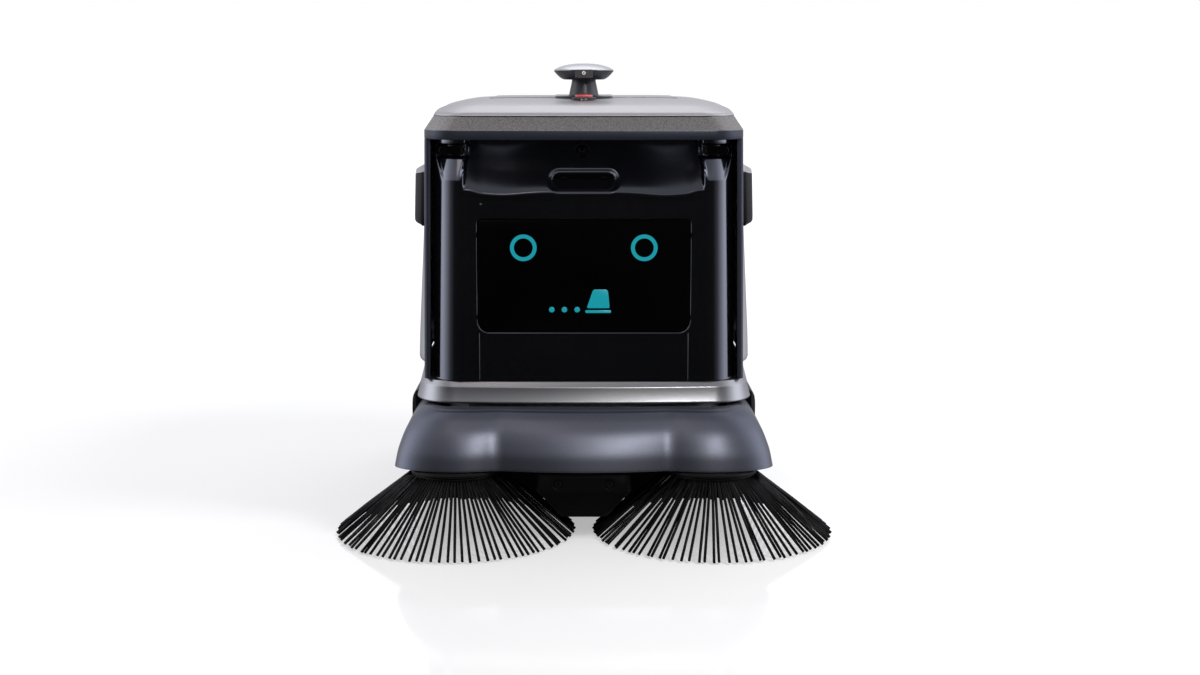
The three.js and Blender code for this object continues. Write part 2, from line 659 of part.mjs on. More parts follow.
// ---- front hood: bumper shell over the brooms, with two lobes and a centre panel ----
{
  const HOOD = { z0: 118, z1: 219, front: -303.2, back: -108, wall: 7, lobeX: 214.6, cornerY: 55 };
  // z, half width
  const HALF_WIDTH = [
    [118, 323.6], [127, 322], [142, 319], [161, 313], [179, 305.5],
    [195, 296], [204, 289.6], [212, 281.5], [219, 270.5],
  ];
  const frontX = [30, 72, 108, 132, 144, 152, 162, 178, 196]; // stations across each front half
  const stations = [...frontX.map((x) => -x).reverse(), ...frontX];

  const path = (z, inset) => {
    const half = lookup(HALF_WIDTH, z);
    const t = (z - HOOD.z0) / (HOOD.z1 - HOOD.z0);
    const front = HOOD.front + HALF_WIDTH[0][1] - half;
    const relief = lerp(1, 0.7, t);
    // centre panel and lobe curves, blended in a soft valley
    const frontY = (x) => {
      const away = Math.abs(x);
      const panel = front + relief * (-4.1 + 0.00073 * Math.max(0, away - lerp(0, 5, t)) ** 2);
      const lobe = front + relief * 0.0026 * (away - HOOD.lobeX) ** 2;
      const blend = Math.max(8 * relief - Math.abs(panel - lobe), 0) / (8 * relief);
      return Math.min(panel, lobe) - blend * blend * 2 * relief;
    };
    const corner = (sign) => Array.from({ length: 6 }, (_, i) => {
      const angle = (i / 5) * Math.PI / 2;
      const x = HOOD.lobeX + (half - HOOD.lobeX - inset) * Math.cos(angle);
      const y = frontY(HOOD.lobeX) + HOOD.cornerY - (HOOD.cornerY - inset) * Math.sin(angle);
      return [sign * x, y];
    });
    return [
      [-half + inset, HOOD.back],
      ...corner(-1),
      ...stations.map((x) => [x, frontY(x) + inset]),
      ...corner(1).reverse(),
      [half - inset, HOOD.back],
    ];
  };
  const levels = [HOOD.z0, 142, 170, 192, 208, HOOD.z1];
  add('front_hood', loft(levels.map((z) =>
    atZ([...path(z, 0), ...path(z, HOOD.wall).reverse()], z))), SLATE);
}

// ---- side brooms ----
for (const [side, sign] of SIDES) {
  const BROOM = { y: -240, radius: 205, tipZ: 2.2, rootZ: 106, rootR: 68 };
  const TUFTS = 30;
  const THICK = 4.6;
  const x = sign * 220;
  // radius, z
  const hub = [
    [0, 109.6], [78, 109.6], [78, 114.6], [74, 116.6], [28, 116.9], [10, 133.4], [0, 133.4],
  ];
  const holder = [[62, 100.5], [76, 100.5], [77.5, 109], [62, 109], [62, 100.5]];
  add(`brush_motor_${side}`, join(
    rod('z', 28, [134, 172], [x, BROOM.y], 20),
    box(around(x, 20), [-232, -200], [160, MOUNT_TOP]),
  ), STEEL);
  add(`brush_hub_${side}`, lathe(hub, 24, x, BROOM.y), FLAKE);

  const reach = BROOM.radius - BROOM.rootR;
  const drop = BROOM.rootZ - BROOM.tipZ;
  const length = Math.hypot(reach, drop) - 4.2;
  let bristles = lathe(holder, TUFTS, x, BROOM.y);
  for (let i = 0; i < TUFTS; i++) {
    const tuft = new THREE.BoxGeometry(length, THICK, THICK);
    tuft.translate(length / 2, 0, 0);
    tuft.rotateY(Math.atan2(drop - 5.2, reach));
    tuft.translate(BROOM.rootR, 0, BROOM.rootZ - 1.2);
    tuft.rotateZ((i + 0.5) * 2 * Math.PI / TUFTS);
    tuft.translate(x, BROOM.y, 0);
    bristles = join(bristles, solid(tuft));
  }
  add(`brush_bristles_${side}`, bristles, BLACK);
}

// ---- drive wheels with hub motors, and their brackets ----
for (const [side, sign] of SIDES) {
  const WHEEL = { x: 250, y: 62, radius: 85 };
  const axis = [WHEEL.y, WHEEL.radius];
  add(`drive_wheel_${side}`, join(
    rod('x', 65.6, span(sign, 226, 274), axis, 28),
    rod('x', 30, span(sign, 222, 279), axis, 20),
    rod('x', 10, span(sign, 213.6, 224), axis, 14),
  ), GREY);
  // radius, distance along the axle
  const tyre = [
    [66, -22], [80, -22], [WHEEL.radius, -16], [WHEEL.radius, 16], [80, 22], [66, 22], [66, -22],
  ];
  const turned = lathe(tyre, 28).rotate([0, 90, 0]);
  add(`tyre_${side}`, turned.translate([sign * WHEEL.x, ...axis]), RUBBER);
  add(`wheel_bracket_${side}`, join(
    box(span(sign, 205, 213), [26, 98], [62, MOUNT_TOP]),
    box(span(sign, 205, 250), [40, 84], [203, MOUNT_TOP]),
  ), STEEL);
}

// ---- rear swivel casters ----
for (const [side, sign] of SIDES) {
  const { y, radius, trail } = CASTER;
  const x = sign * CASTER.x;
  const cheek = [[y - 10, 86], [y + 42, 86], [y + 35, 28], [y + 15, 28]];
  add(`caster_fork_${side}`, join(
    rod('z', 22, [90, 102.8], [x, y], 20),
    box(around(x, 19), [y - 16, y + 42], [84, 92]),
    ...[-1, 1].map((cheekSign) => prism('x', cheek, span(cheekSign, 14.4, 19, x))),
  ), STEEL);
  add(`caster_wheel_${side}`, join(
    rod('x', radius, around(x, 11), [y + trail, radius], 28),
    rod('x', 6, around(x, 14), [y + trail, radius], 12),
  ), RUBBER);
}

// ---- dust bin drawer with runners and a grip recess, and its filter ----
{
  const { half, y0, body, y1, z0, z1, faceHalf, faceTop } = BIN;
  const WALL = 4;
  const innerX = around(0, half - WALL);
  const tray = cut(
    box([-half, half], [y0, body], [z0, z1]),
    box(innerX, [y0 + WALL, body - WALL], [z0 + WALL, 220]),
    box(innerX, [90, y0 + 6], [112, 220]), // lowers the front wall
  );
  const face = cut(
    box([-faceHalf, faceHalf], [body - 1, y1], [48, faceTop]),
    box([-70, 70], [436, 460], [150, 178]),
  );
  add('dust_bin', join(
    tray,
    ...[-1, 1].map((sign) => box(span(sign, 130, 144), [y0, body], [189.6, z1])),
    face,
    box([-62, 62], [438.5, y1], [170, 178.4]),
  ), FLAKE);
  add('dust_filter', box([-127, 127], [236, 427], [197, 205.6]), LIGHT);
}

// ---- rear charge contacts and power button ----
add('charge_contacts', join(
  box([-55, 55], [421.6, 432], [285, 325]),
  box([-40, -14], [430, 434], [293, 317]),
  box([14, 40], [430, 434], [293, 317]),
), BLACK);
{
  const { x, z, radius } = POWER_BUTTON;
  add('power_button', rod('y', radius, [386, 406.5], [x, z], 20), SILVER);
}

export default object;
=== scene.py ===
# A floor-cleaning robot: two side brooms and a roller below, a cabin with a screen above,
# and a small turret on top. It stands on z = 0 and faces -Y; "left" is -X.
# Shapes are worked out in millimetres and scaled to metres when their meshes are made.
# Stage, lights and camera are in metres.
import bpy
import bmesh
import json
import math
import numpy as np
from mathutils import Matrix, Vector

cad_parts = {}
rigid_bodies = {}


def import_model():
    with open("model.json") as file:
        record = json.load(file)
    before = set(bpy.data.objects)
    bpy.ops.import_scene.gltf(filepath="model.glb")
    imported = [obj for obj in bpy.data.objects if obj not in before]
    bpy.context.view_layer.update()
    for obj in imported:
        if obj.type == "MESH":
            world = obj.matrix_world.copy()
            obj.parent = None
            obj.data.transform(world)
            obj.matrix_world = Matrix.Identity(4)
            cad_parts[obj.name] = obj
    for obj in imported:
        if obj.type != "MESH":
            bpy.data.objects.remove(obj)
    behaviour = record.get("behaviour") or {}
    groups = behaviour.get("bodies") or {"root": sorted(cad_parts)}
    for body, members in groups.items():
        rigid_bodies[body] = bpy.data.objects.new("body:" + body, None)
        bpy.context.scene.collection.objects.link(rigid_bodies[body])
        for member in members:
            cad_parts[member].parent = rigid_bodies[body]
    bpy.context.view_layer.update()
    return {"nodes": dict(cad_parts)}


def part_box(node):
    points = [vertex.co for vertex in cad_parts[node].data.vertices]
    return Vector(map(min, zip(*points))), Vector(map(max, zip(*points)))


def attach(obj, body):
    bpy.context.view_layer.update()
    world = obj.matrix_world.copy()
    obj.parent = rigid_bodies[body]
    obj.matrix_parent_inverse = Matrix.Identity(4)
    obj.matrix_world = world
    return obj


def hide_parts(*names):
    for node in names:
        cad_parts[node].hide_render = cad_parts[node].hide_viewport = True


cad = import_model()
random = np.random.default_rng(7)
SIDES = (("left", -1), ("right", 1))


# ---------------------------------------------------------------- curves and outlines
def lerp(a, b, t):
    return a + (b - a) * t


def ease(t):
    t = np.clip(t, 0, 1)
    return t * t * (3 - 2 * t)


def smooth_curve(stations, values):
    """Smooth monotone curve through points, as a function that is level beyond its ends."""
    stations, values = np.array(stations, float), np.array(values, float)
    step = np.diff(stations)
    rise = np.diff(values) / step
    slope = np.zeros(len(stations))
    for i in range(1, len(stations) - 1):
        if rise[i - 1] * rise[i] > 0:
            before, after = 2 * step[i] + step[i - 1], step[i] + 2 * step[i - 1]
            slope[i] = (before + after) / (before / rise[i - 1] + after / rise[i])
    slope[0], slope[-1] = rise[0], rise[-1]

    def curve(x):
        x = np.clip(np.asarray(x, float), stations[0], stations[-1])
        k = np.clip(np.searchsorted(stations, x) - 1, 0, len(stations) - 2)
        t = (x - stations[k]) / step[k]
        return (values[k] * (1 + 2 * t) * (1 - t) ** 2
                + slope[k] * step[k] * t * (1 - t) ** 2
                + values[k + 1] * t * t * (3 - 2 * t)
                + slope[k + 1] * step[k] * t * t * (t - 1))
    return curve


def arc(x, y, radius, start, end, steps):
    angle = np.radians(np.linspace(start, end, steps + 1))
    return np.stack([x + radius * np.cos(angle), y + radius * np.sin(angle)], 1)


def column(x, y):
    """Points at one x."""
    return np.stack([np.full(len(y), x), y], 1)


def at_height(outline, z):
    return np.insert(outline, 2, z, axis=1)


def plan(half_width, front, back, front_radius, back_radius, bow, corner_steps, front_steps,
         side_steps=14):
    """Closed rounded outline from above, from the front left corner towards the right.
    The front's ends lie further back than its middle by the bow."""
    back_steps = 24
    front_end, back_end = half_width - front_radius, half_width - back_radius
    front_y, back_y = front + bow + front_radius, back - back_radius
    x_front = np.linspace(-front_end, front_end, front_steps + 1)
    x_back = np.linspace(back_end, -back_end, back_steps + 1)[1:-1]
    y_side = np.linspace(front_y, back_y, side_steps + 1)[1:-1]
    y_return = np.linspace(back_y, front_y, side_steps + 1)[1:-1]
    return np.concatenate([
        np.stack([x_front, front + bow * (x_front / front_end) ** 2], 1),
        arc(front_end, front_y, front_radius, -90, 0, corner_steps)[1:],
        column(half_width, y_side),
        arc(back_end, back_y, back_radius, 0, 90, corner_steps),
        np.stack([x_back, np.full(len(x_back), back)], 1),
        arc(-back_end, back_y, back_radius, 90, 180, corner_steps),
        column(-half_width, y_return),
        arc(-front_end, front_y, front_radius, 180, 270, corner_steps)[:-1]])


def rect(x0, x1, y0, y1):
    return [(x0, y0), (x1, y0), (x1, y1), (x0, y1)]


def round_poly(corners, radii, steps=6):
    """Rounds each corner of a polygon; radii is one radius or one for each corner."""
    corners = [np.array(corner, float) for corner in corners]
    points = []
    for i, corner in enumerate(corners):
        radius = radii[i] if isinstance(radii, (list, tuple)) else radii
        to_last, to_next = corners[i - 1] - corner, corners[(i + 1) % len(corners)] - corner
        to_last, to_next = to_last / np.linalg.norm(to_last), to_next / np.linalg.norm(to_next)
        half = math.acos(np.clip(to_last @ to_next, -1, 1)) / 2
        cut = radius / math.tan(half)
        middle = to_last + to_next
        centre = corner + middle / np.linalg.norm(middle) * radius / math.sin(half)
        start, end = corner + to_last * cut - centre, corner + to_next * cut - centre
        cosine = (start @ end) / (np.linalg.norm(start) * np.linalg.norm(end))
        turn = math.acos(np.clip(cosine, -1, 1))
        for k in range(steps + 1):
            t = k / steps
            spoke = math.sin((1 - t) * turn) * start + math.sin(t * turn) * end
            points.append(centre + spoke / math.sin(turn))
    return np.array(points)


def round_rect(x0, x1, y0, y1, radii, steps=6):
    return round_poly(rect(x0, x1, y0, y1), radii, steps)


def span(sign, near, far):
    """Lower and upper x of a piece between two distances from the middle."""
    return sorted((sign * near, sign * far))


# ---------------------------------------------------------------- solids, as (points, faces)
def grid_faces(rows, columns, close_rows=False, close_columns=False):
    faces = []
    for u in range(rows if close_rows else rows - 1):
        here, there = u * columns, (u + 1) % rows * columns
        for v in range(columns if close_columns else columns - 1):
            after = (v + 1) % columns
            faces.append((here + v, there + v, there + after, here + after))
    return faces


def loft(sections, close=False):
    """Solid through closed sections; it joins up with its start or has end caps."""
    points = np.asarray(sections, float)
    rows, count = points.shape[:2]
    faces = grid_faces(rows, count, close_rows=close, close_columns=True)
    if not close:
        faces.append(tuple(range(count)))
        faces.append(tuple((rows - 1) * count + i for i in reversed(range(count))))
    return points.reshape(-1, 3), faces


def stack(loops, last_cap_first=False):
    """Capped solid through loops, with its faces wound the other way round from a loft's."""
    points = np.asarray(loops, float)
    rows, count = points.shape[:2]
    faces = [(a, d, c, b) for a, b, c, d in grid_faces(rows, count, close_columns=True)]
    last = (rows - 1) * count
    caps = [tuple(reversed(range(count))), tuple(range(last, last + count))]
    return points.reshape(-1, 3), faces + (caps[::-1] if last_cap_first else caps)


def double_wall(outer, inner):
    """Shell between two grids of points, closed round its rim."""
    rows, columns = outer.shape[:2]
    count = rows * columns
    index = np.arange(count).reshape(rows, columns)
    rim = np.concatenate([index[:, 0], index[-1, 1:], index[-2::-1, -1],
                          index[0, -2:0:-1]]).tolist()
    faces = grid_faces(rows, columns)
    faces += [tuple(count + i for i in reversed(face)) for face in faces]
    faces += [(a, b, count + b, count + a) for a, b in zip(rim, rim[1:] + rim[:1])]
    return np.concatenate([outer.reshape(-1, 3), inner.reshape(-1, 3)]), faces


def bridge(start, end):
    """Solid between two matching loops."""
    n = len(start)
    faces = [tuple(range(n)), tuple(n + i for i in reversed(range(n)))]
    faces += [(i, (i + 1) % n, n + (i + 1) % n, n + i) for i in range(n)]
    return np.concatenate([start, end]), faces


def prism(points, axis, start, end):
    """Polygon prism; along x it reads points as (y, z), along y (x, z), along z (x, y)."""
    flat = np.asarray(points, float)
    place = "xyz".index(axis)
    return bridge(np.insert(flat, place, start, axis=1), np.insert(flat, place, end, axis=1))


def box(x_span, y_span, z_span):
    points = [(x, y, z) for x in x_span for y in y_span for z in z_span]
    return np.array(points, float), [(0, 1, 3, 2), (4, 6, 7, 5), (0, 4, 5, 1),
                                     (2, 3, 7, 6), (0, 2, 6, 4), (1, 5, 7, 3)]


def lathe(profile, segments=64, x=0.0, y=0.0, z=0.0, axis="z"):
    """Solid turned from (radius, place along the axis); a radius of 0 is a single point."""
    points, faces, rings = [], [], []
    for radius, along in profile:
        count = segments if radius > 0 else 1
        rings.append(range(len(points), len(points) + count))
        for i in range(count):
            angle = 2 * math.pi * i / segments
            points.append((radius * math.cos(angle), radius * math.sin(angle), along))
    pairs = list(zip(rings, rings[1:]))
    if profile[0][0] > 0:
        pairs.append((rings[-1], rings[0]))
    for low, high in pairs:
        if len(low) == 1 and len(high) == 1:
            continue
        for i in range(segments):
            j = (i + 1) % segments
            if len(low) == 1:
                faces.append((low[0], high[j], high[i]))
            elif len(high) == 1:
                faces.append((low[i], low[j], high[0]))
            else:
                faces.append((low[i], low[j], high[j], high[i]))
    order = {"x": [2, 0, 1], "y": [1, 2, 0], "z": [0, 1, 2]}[axis]
    return np.array(points)[:, order] + np.array([x, y, z]), faces


def rod(radius, start, end, segments, **place):
    return lathe([(0, start), (radius, start), (radius, end), (0, end)], segments, **place)


def merge(parts):
    points, faces, count = [], [], 0
    for part_points, part_faces in parts:
        points.append(part_points)
        faces += [tuple(i + count for i in face) for face in part_faces]
        count += len(part_points)
    return np.concatenate(points), faces


# ---------------------------------------------------------------- meshes and objects
def new_mesh(name, shape):
    points, faces = shape
    mesh = bpy.data.meshes.new(name)
    mesh.from_pydata((np.asarray(points, float) * 0.001).tolist(), [], faces)
    return mesh


def turn_outwards(mesh):
    work = bmesh.new()
    work.from_mesh(mesh)
    bmesh.ops.recalc_face_normals(work, faces=work.faces)
    work.to_mesh(mesh)
    work.free()


def link(name, data):
    obj = bpy.data.objects.new(name, data)
    bpy.context.scene.collection.objects.link(obj)
    return obj


def boolean(base, cutters, operation="DIFFERENCE"):
    """Mesh of the base cut by, or cut down to, each cutter in turn."""
    made = []
    for shape in [base, *cutters]:
        mesh = new_mesh("tmp", shape)
        turn_outwards(mesh)
        made.append(link("tmp", mesh))
    for cutter in made[1:]:
        modifier = made[0].modifiers.new("cut", "BOOLEAN")
        modifier.object = cutter
        modifier.operation = operation
        modifier.solver = "EXACT"
    graph = bpy.context.evaluated_depsgraph_get()
    mesh = bpy.data.meshes.new_from_object(made[0].evaluated_get(graph))
    for obj in made:
        bpy.data.objects.remove(obj)
    mesh.materials.clear()
    return mesh


def bevel_edges(obj, width, segments=2):
    modifier = obj.modifiers.new("bevel", "BEVEL")
    modifier.width = width * 0.001
    modifier.segments = segments
    modifier.limit_method = "ANGLE"
    modifier.angle_limit = math.radians(40)
    return modifier


def add(name, shape, material, body="chassis", replaces=None, angle=32,
        bevel=0.0, segments=2):
    """Object that rides on a body; shape is (points, faces) or a mesh from boolean().
    Edges sharper than angle, in degrees, are shaded as creases."""
    mesh = shape
    if isinstance(shape, tuple):
        mesh = new_mesh(name, shape)
        mesh.validate()
        mesh.update()
    turn_outwards(mesh)
    obj = link(name, mesh)
    mesh.materials.append(material)
    mesh.shade_smooth()
    mesh.set_sharp_from_angle(angle=math.radians(angle))
    if bevel:
        bevel_edges(obj, bevel, segments).harden_normals = True
    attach(obj, body)
    if replaces:
        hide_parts(replaces)
    return obj


# ---------------------------------------------------------------- shader nodes
class Nodes:
    """The emptied node tree of a material or world."""

    def __init__(self, owner):
        owner.use_nodes = True
        self.tree = owner.node_tree
        self.tree.nodes.clear()

    def feed(self, socket, source):
        """Links a socket to another, or sets its value."""
        if isinstance(source, bpy.types.NodeSocket):
            self.tree.links.new(source, socket)
        elif socket.type == "RGBA":
            socket.default_value = (*source, 1)
        else:
            socket.default_value = source

    def node(self, kind, inputs=None, **settings):
        made = self.tree.nodes.new("ShaderNode" + kind)
        for key, value in settings.items():
            setattr(made, key, value)
        for key, source in (inputs or {}).items():
            self.feed(made.inputs[key], source)
        return made

    def calc(self, operation, *values):
        return self.node("Math", dict(enumerate(values)), operation=operation).outputs[0]

    def remap(self, source, low, high, from_low=0.3, from_high=0.7):
        return self.node("MapRange", {"From Min": from_low, "From Max": from_high,
                                      "To Min": low, "To Max": high, "Value": source}).outputs[0]

    def mix(self, factor, first, second):
        return self.node("Mix", {0: factor, 6: first, 7: second}, data_type="RGBA").outputs[2]


class Finish(Nodes):
    """A material with one principled shader, textured in object space."""

    def __init__(self, name):
        self.material = bpy.data.materials.new(name)
        super().__init__(self.material)
        self.shader = self.node("BsdfPrincipled")
        self.node("OutputMaterial", {0: self.shader.outputs[0]})
        self.coords = self.node("TexCoord").outputs["Object"]

    def set(self, inputs):
        for key, source in inputs.items():
            self.feed(self.shader.inputs[key], source)

    def noise(self, scale, detail, roughness=0.5, stretch=None):
        coords = self.coords
        if stretch:
            coords = self.node("Mapping", {"Vector": coords, "Scale": stretch}).outputs[0]
        return self.node("TexNoise", {"Scale": scale, "Detail": detail,
                                      "Roughness": roughness, "Vector": coords}).outputs["Fac"]

    def bump(self, height, strength, distance):
        made = self.node("Bump", {"Strength": strength, "Distance": distance, "Height": height})
        self.set({"Normal": made.outputs[0]})


def tone(colour, factor, offset=0.0):
    return tuple(x * factor + offset for x in colour)


# ---------------------------------------------------------------- kinds of material
def metal_paint(name, colour, rough, metal, flake, scale, grain=0.06):
    """Metallic paint: flake is the contrast of its specks, scale how fine they are."""
    made = Finish(name)
    patches = made.noise(scale=3.5, detail=3)
    specks = made.noise(scale=scale, detail=2, roughness=0.6)
    mixed = made.mix(made.remap(specks, 0, 1, 0.35, 0.65),
                     tone(colour, 1 - flake * 0.5), tone(colour, 1 + flake))
    mixed = made.mix(made.remap(patches, 0, 0.12), mixed, tone(colour, 0.8))
    made.set({"Base Color": mixed, "Metallic": metal, "Coat Roughness": 0.12,
              "Roughness": made.remap(patches, rough - 0.03, rough + 0.04)})
    if grain:
        made.bump(specks, strength=grain, distance=0.0004)
    return made.material


def gloss(name, colour, rough, spec=0.5, coat=0.3, peel=0.02, spec_tint=(1, 1, 1), ior=1.5):
    """Glossy plastic or glass with faint smears; peel is the height of its slow ripple."""
    made = Finish(name)
    patches = made.noise(scale=6, detail=3)
    smears = made.noise(scale=28, detail=5, roughness=0.6, stretch=(1, 1, 0.35))
    made.set({"Base Color": made.mix(made.remap(patches, 0, 1), colour,
                                     tone(colour, 1.25, 0.001)),
              "Roughness": made.remap(smears, rough, rough + 0.035),
              "Specular IOR Level": spec, "Specular Tint": spec_tint, "IOR": ior,
              "Coat Weight": coat, "Coat Roughness": 0.03})
    made.bump(made.noise(scale=55, detail=2), strength=peel, distance=0.0006)
    return made.material


def matte(name, colour, rough, grain, depth, worn, spec=0.4):
    """Textured plastic with edges lightened towards the worn colour."""
    made = Finish(name)
    patches = made.noise(scale=9, detail=5, roughness=0.6)
    fine = made.noise(scale=grain, detail=2)
    mixed = made.mix(made.remap(patches, 0, 1), tone(colour, 0.75), tone(colour, 1.25))
    pointed = made.node("NewGeometry").outputs["Pointiness"]
    made.set({"Base Color": made.mix(made.remap(pointed, 0.0, 0.5, 0.52, 0.6), mixed, worn),
              "Roughness": made.remap(fine, rough - 0.08, rough + 0.08),
              "Specular IOR Level": spec})
    made.bump(fine, strength=depth, distance=0.0004)
    return made.material


def brushed(name, colour, rough):
    """Metal with fine streaks across z."""
    made = Finish(name)
    streaks = made.noise(scale=6, detail=6, roughness=0.65, stretch=(6, 6, 400))
    made.set({"Base Color": made.mix(made.remap(streaks, 0, 1), tone(colour, 0.75), colour),
              "Metallic": 1, "Roughness": made.remap(streaks, rough - 0.06, rough + 0.12)})
    made.bump(streaks, strength=0.15, distance=0.0003)
    return made.material


def dusty_rubber(name, colour):
    made = Finish(name)
    dust = made.noise(scale=14, detail=6, roughness=0.6)
    fine = made.noise(scale=900, detail=3)
    made.set({"Base Color": made.mix(made.remap(dust, 0, 0.35, 0.45, 0.75), colour,
                                     tone(colour, 2.6, 0.01)),
              "Roughness": made.remap(dust, 0.62, 0.85), "Specular IOR Level": 0.3})
    made.bump(fine, strength=0.35, distance=0.0005)
    return made.material


def bristle():
    made = Finish("bristle")
    strands = made.noise(scale=700, detail=3, roughness=0.6)
    slow = made.noise(scale=60, detail=3)
    made.set({"Base Color": made.mix(made.remap(strands, 0, 1), (0.0003, 0.0003, 0.0004),
                                     (0.0014, 0.0014, 0.0017)),
              "Roughness": made.remap(slow, 0.20, 0.32), "Specular IOR Level": 0.12})
    made.bump(strands, strength=0.05, distance=0.0005)
    return made.material


def pleated_filter():
    made = Finish("pleated_filter")
    folds = made.node("TexWave", {"Scale": 90, "Distortion": 0.4,
                                  "Vector": made.coords}).outputs["Fac"]
    fibres = made.noise(scale=1200, detail=3)
    paper = made.mix(folds, (0.5, 0.5, 0.47), (0.78, 0.78, 0.75))
    made.set({"Base Color": made.mix(made.remap(fibres, 0, 0.3), paper, (0.45, 0.44, 0.4)),
              "Roughness": 0.9})
    made.bump(folds, strength=0.6, distance=0.002)
    return made.material


def screen_glow():
    """Lit screen colour with a fine checker in it."""
    made = Finish("screen_cyan")
    colour = (0.008, 0.33, 0.40)
    checker = made.node("TexChecker", {"Scale": 1600, "Vector": made.coords}).outputs["Fac"]
    lit = made.mix(made.remap(checker, 0, 1, 0, 1), colour, tone(colour, 0.93))
    unlit = made.mix(made.remap(checker, 0, 1, 0, 1), (0.002, 0.01, 0.012),
                     (0.002, 0.008, 0.010))
    made.set({"Base Color": unlit, "Emission Color": lit, "Emission Strength": 0.92,
              "Roughness": 0.3})
    return made.material


SLATE = metal_paint("slate_metallic", (0.128, 0.135, 0.170), rough=0.35, metal=0.93,
                    flake=0.16, scale=1100, grain=0.03)
TRIM = metal_paint("trim_silver", (0.37, 0.375, 0.40), rough=0.30, metal=0.96,
                   flake=0.05, scale=700, grain=0.0)
DOME = metal_paint("dome_silver", (0.62, 0.62, 0.66), rough=0.30, metal=0.85,
                   flake=0.03, scale=900, grain=0.0)
LIGHT = metal_paint("light_silver", (0.50, 0.49, 0.52), rough=0.36, metal=0.6,
                    flake=0.05, scale=1200)
PANEL = metal_paint("panel_silver", (0.50, 0.50, 0.52), rough=0.33, metal=0.7,
                    flake=0.08, scale=1200)
FLAKE = metal_paint("dark_flake", (0.26, 0.245, 0.245), rough=0.40, metal=0.9,
                    flake=0.6, scale=620)
LEG = metal_paint("dark_blue_frame", (0.045, 0.050, 0.072), rough=0.34, metal=0.6,
                  flake=0.2, scale=900)
SHELL = matte("dark_shell", (0.022, 0.022, 0.026), rough=0.45, grain=1300, depth=0.2,
              worn=(0.06, 0.06, 0.065))
PIANO = gloss("piano_black", (0.0022, 0.0022, 0.003), rough=0.12, spec=1.0, coat=0.0,
              peel=0.008, spec_tint=(0.80, 0.84, 1.0), ior=1.85)
POD = gloss("pod_black", (0.0022, 0.0022, 0.003), rough=0.12, spec=0.4, coat=0.1)
WINDOW = gloss("sensor_window", (0.001, 0.001, 0.0014), rough=0.03, spec=0.45, coat=0.4,
               peel=0.0)
SCREEN = gloss("screen_glass", (0.0009, 0.001, 0.0013), rough=0.10, spec=0.16, coat=0.0,
               peel=0.0)
SATIN = gloss("dark_satin", (0.030, 0.032, 0.042), rough=0.34, coat=0.0)
LENS = gloss("lens_black", (0.001, 0.001, 0.0016), rough=0.05, spec=0.4, coat=0.2, peel=0.0)
GREY = matte("dark_grey", (0.05, 0.05, 0.054), rough=0.42, grain=1300, depth=0.15,
             worn=(0.12, 0.12, 0.125))
HATCH = metal_paint("hatch_silver", (0.47, 0.46, 0.49), rough=0.4, metal=0.5,
                    flake=0.06, scale=1200)
BLACK = matte("black_plastic", (0.003, 0.003, 0.0036), rough=0.42, grain=1300, depth=0.25,
              worn=(0.010, 0.010, 0.010), spec=0.16)
RUBBER = dusty_rubber("skirt_rubber", (0.003, 0.003, 0.0034))
TYRE = dusty_rubber("tyre_rubber", (0.018, 0.018, 0.018))
STEEL = brushed("steel", (0.52, 0.53, 0.55), rough=0.3)
CHROME = brushed("satin_steel", (0.72, 0.72, 0.74), rough=0.2)
BRASS = brushed("contact_brass", (0.75, 0.55, 0.25), rough=0.28)
RED = gloss("red_plastic", (0.52, 0.008, 0.01), rough=0.22, peel=0.03)
PINK = gloss("red_rim", (0.72, 0.10, 0.11), rough=0.3, coat=0.2, peel=0.03)
BATTERY = matte("battery_case", (0.04, 0.045, 0.055), rough=0.5, grain=900, depth=0.3,
                worn=(0.1, 0.1, 0.1))
BRISTLE = bristle()
PLEAT = pleated_filter()
CYAN = screen_glow()
WHITE = gloss("white_ring", (0.75, 0.76, 0.8), rough=0.15)


# ---------------------------------------------------------------- shared cabin dimensions
def centre_y(node):
    low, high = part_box(node)
    return (low.y + high.y) * 500


TURRET_Y = centre_y("turret_pedestal")
ESTOP_Y = centre_y("estop_head")
CABIN_FOOT, CABIN_TOP = 262, 671
CABIN_HEIGHT = CABIN_TOP - CABIN_FOOT
SCOOP_Z = 583        # where the forehead scoop begins
WALL = 4.5           # thickness of the side and rear covers

# heights, then half widths or rear positions at them
BODY_WIDTH = smooth_curve([260, 263, 268, 300, 355, 460, 640, 671],
                          [300, 302.5, 304, 304, 303, 300.8, 296, 292.3])
FRONT_WIDTH = smooth_curve([260, 400, 583, 640, 671], [287, 289.5, 291.5, 292.6, 291])
BODY_BACK = smooth_curve([260, 400, 583, 671], [421, 416, 404, 395])


def flare(z):
    """How far the side cover's front edge lies inside its full width."""
    return np.maximum(BODY_WIDTH(z) - FRONT_WIDTH(z), 0.6)


def split_y(z):
    """Leaning joint between side cover and brow leg."""
    return -43 + (z - CABIN_FOOT) * 137 / 384


def spread(outline, amount):
    """Widens an outline towards the rear, eased in and out."""
    t = (outline[:, 1] + 190) / 290
    eased = 0.5 * (np.sqrt(t * t + 0.004) - np.sqrt((t - 1) ** 2 + 0.004) + 1)
    outline = outline.copy()
    outline[:, 0] *= 1 + amount * eased
    return outline


# ---------------------------------------------------------------- front hood
HOOD_FOOT, HOOD_TOP = 118, 219
HOOD_HALF_WIDTH = 323.6
HOOD_WIDTH = smooth_curve([118, 127, 142, 161, 179, 195, 204, 212, 219],
                          [323.6, 322, 319, 313, 305.5, 296, 289.6, 281.5, 270.5])


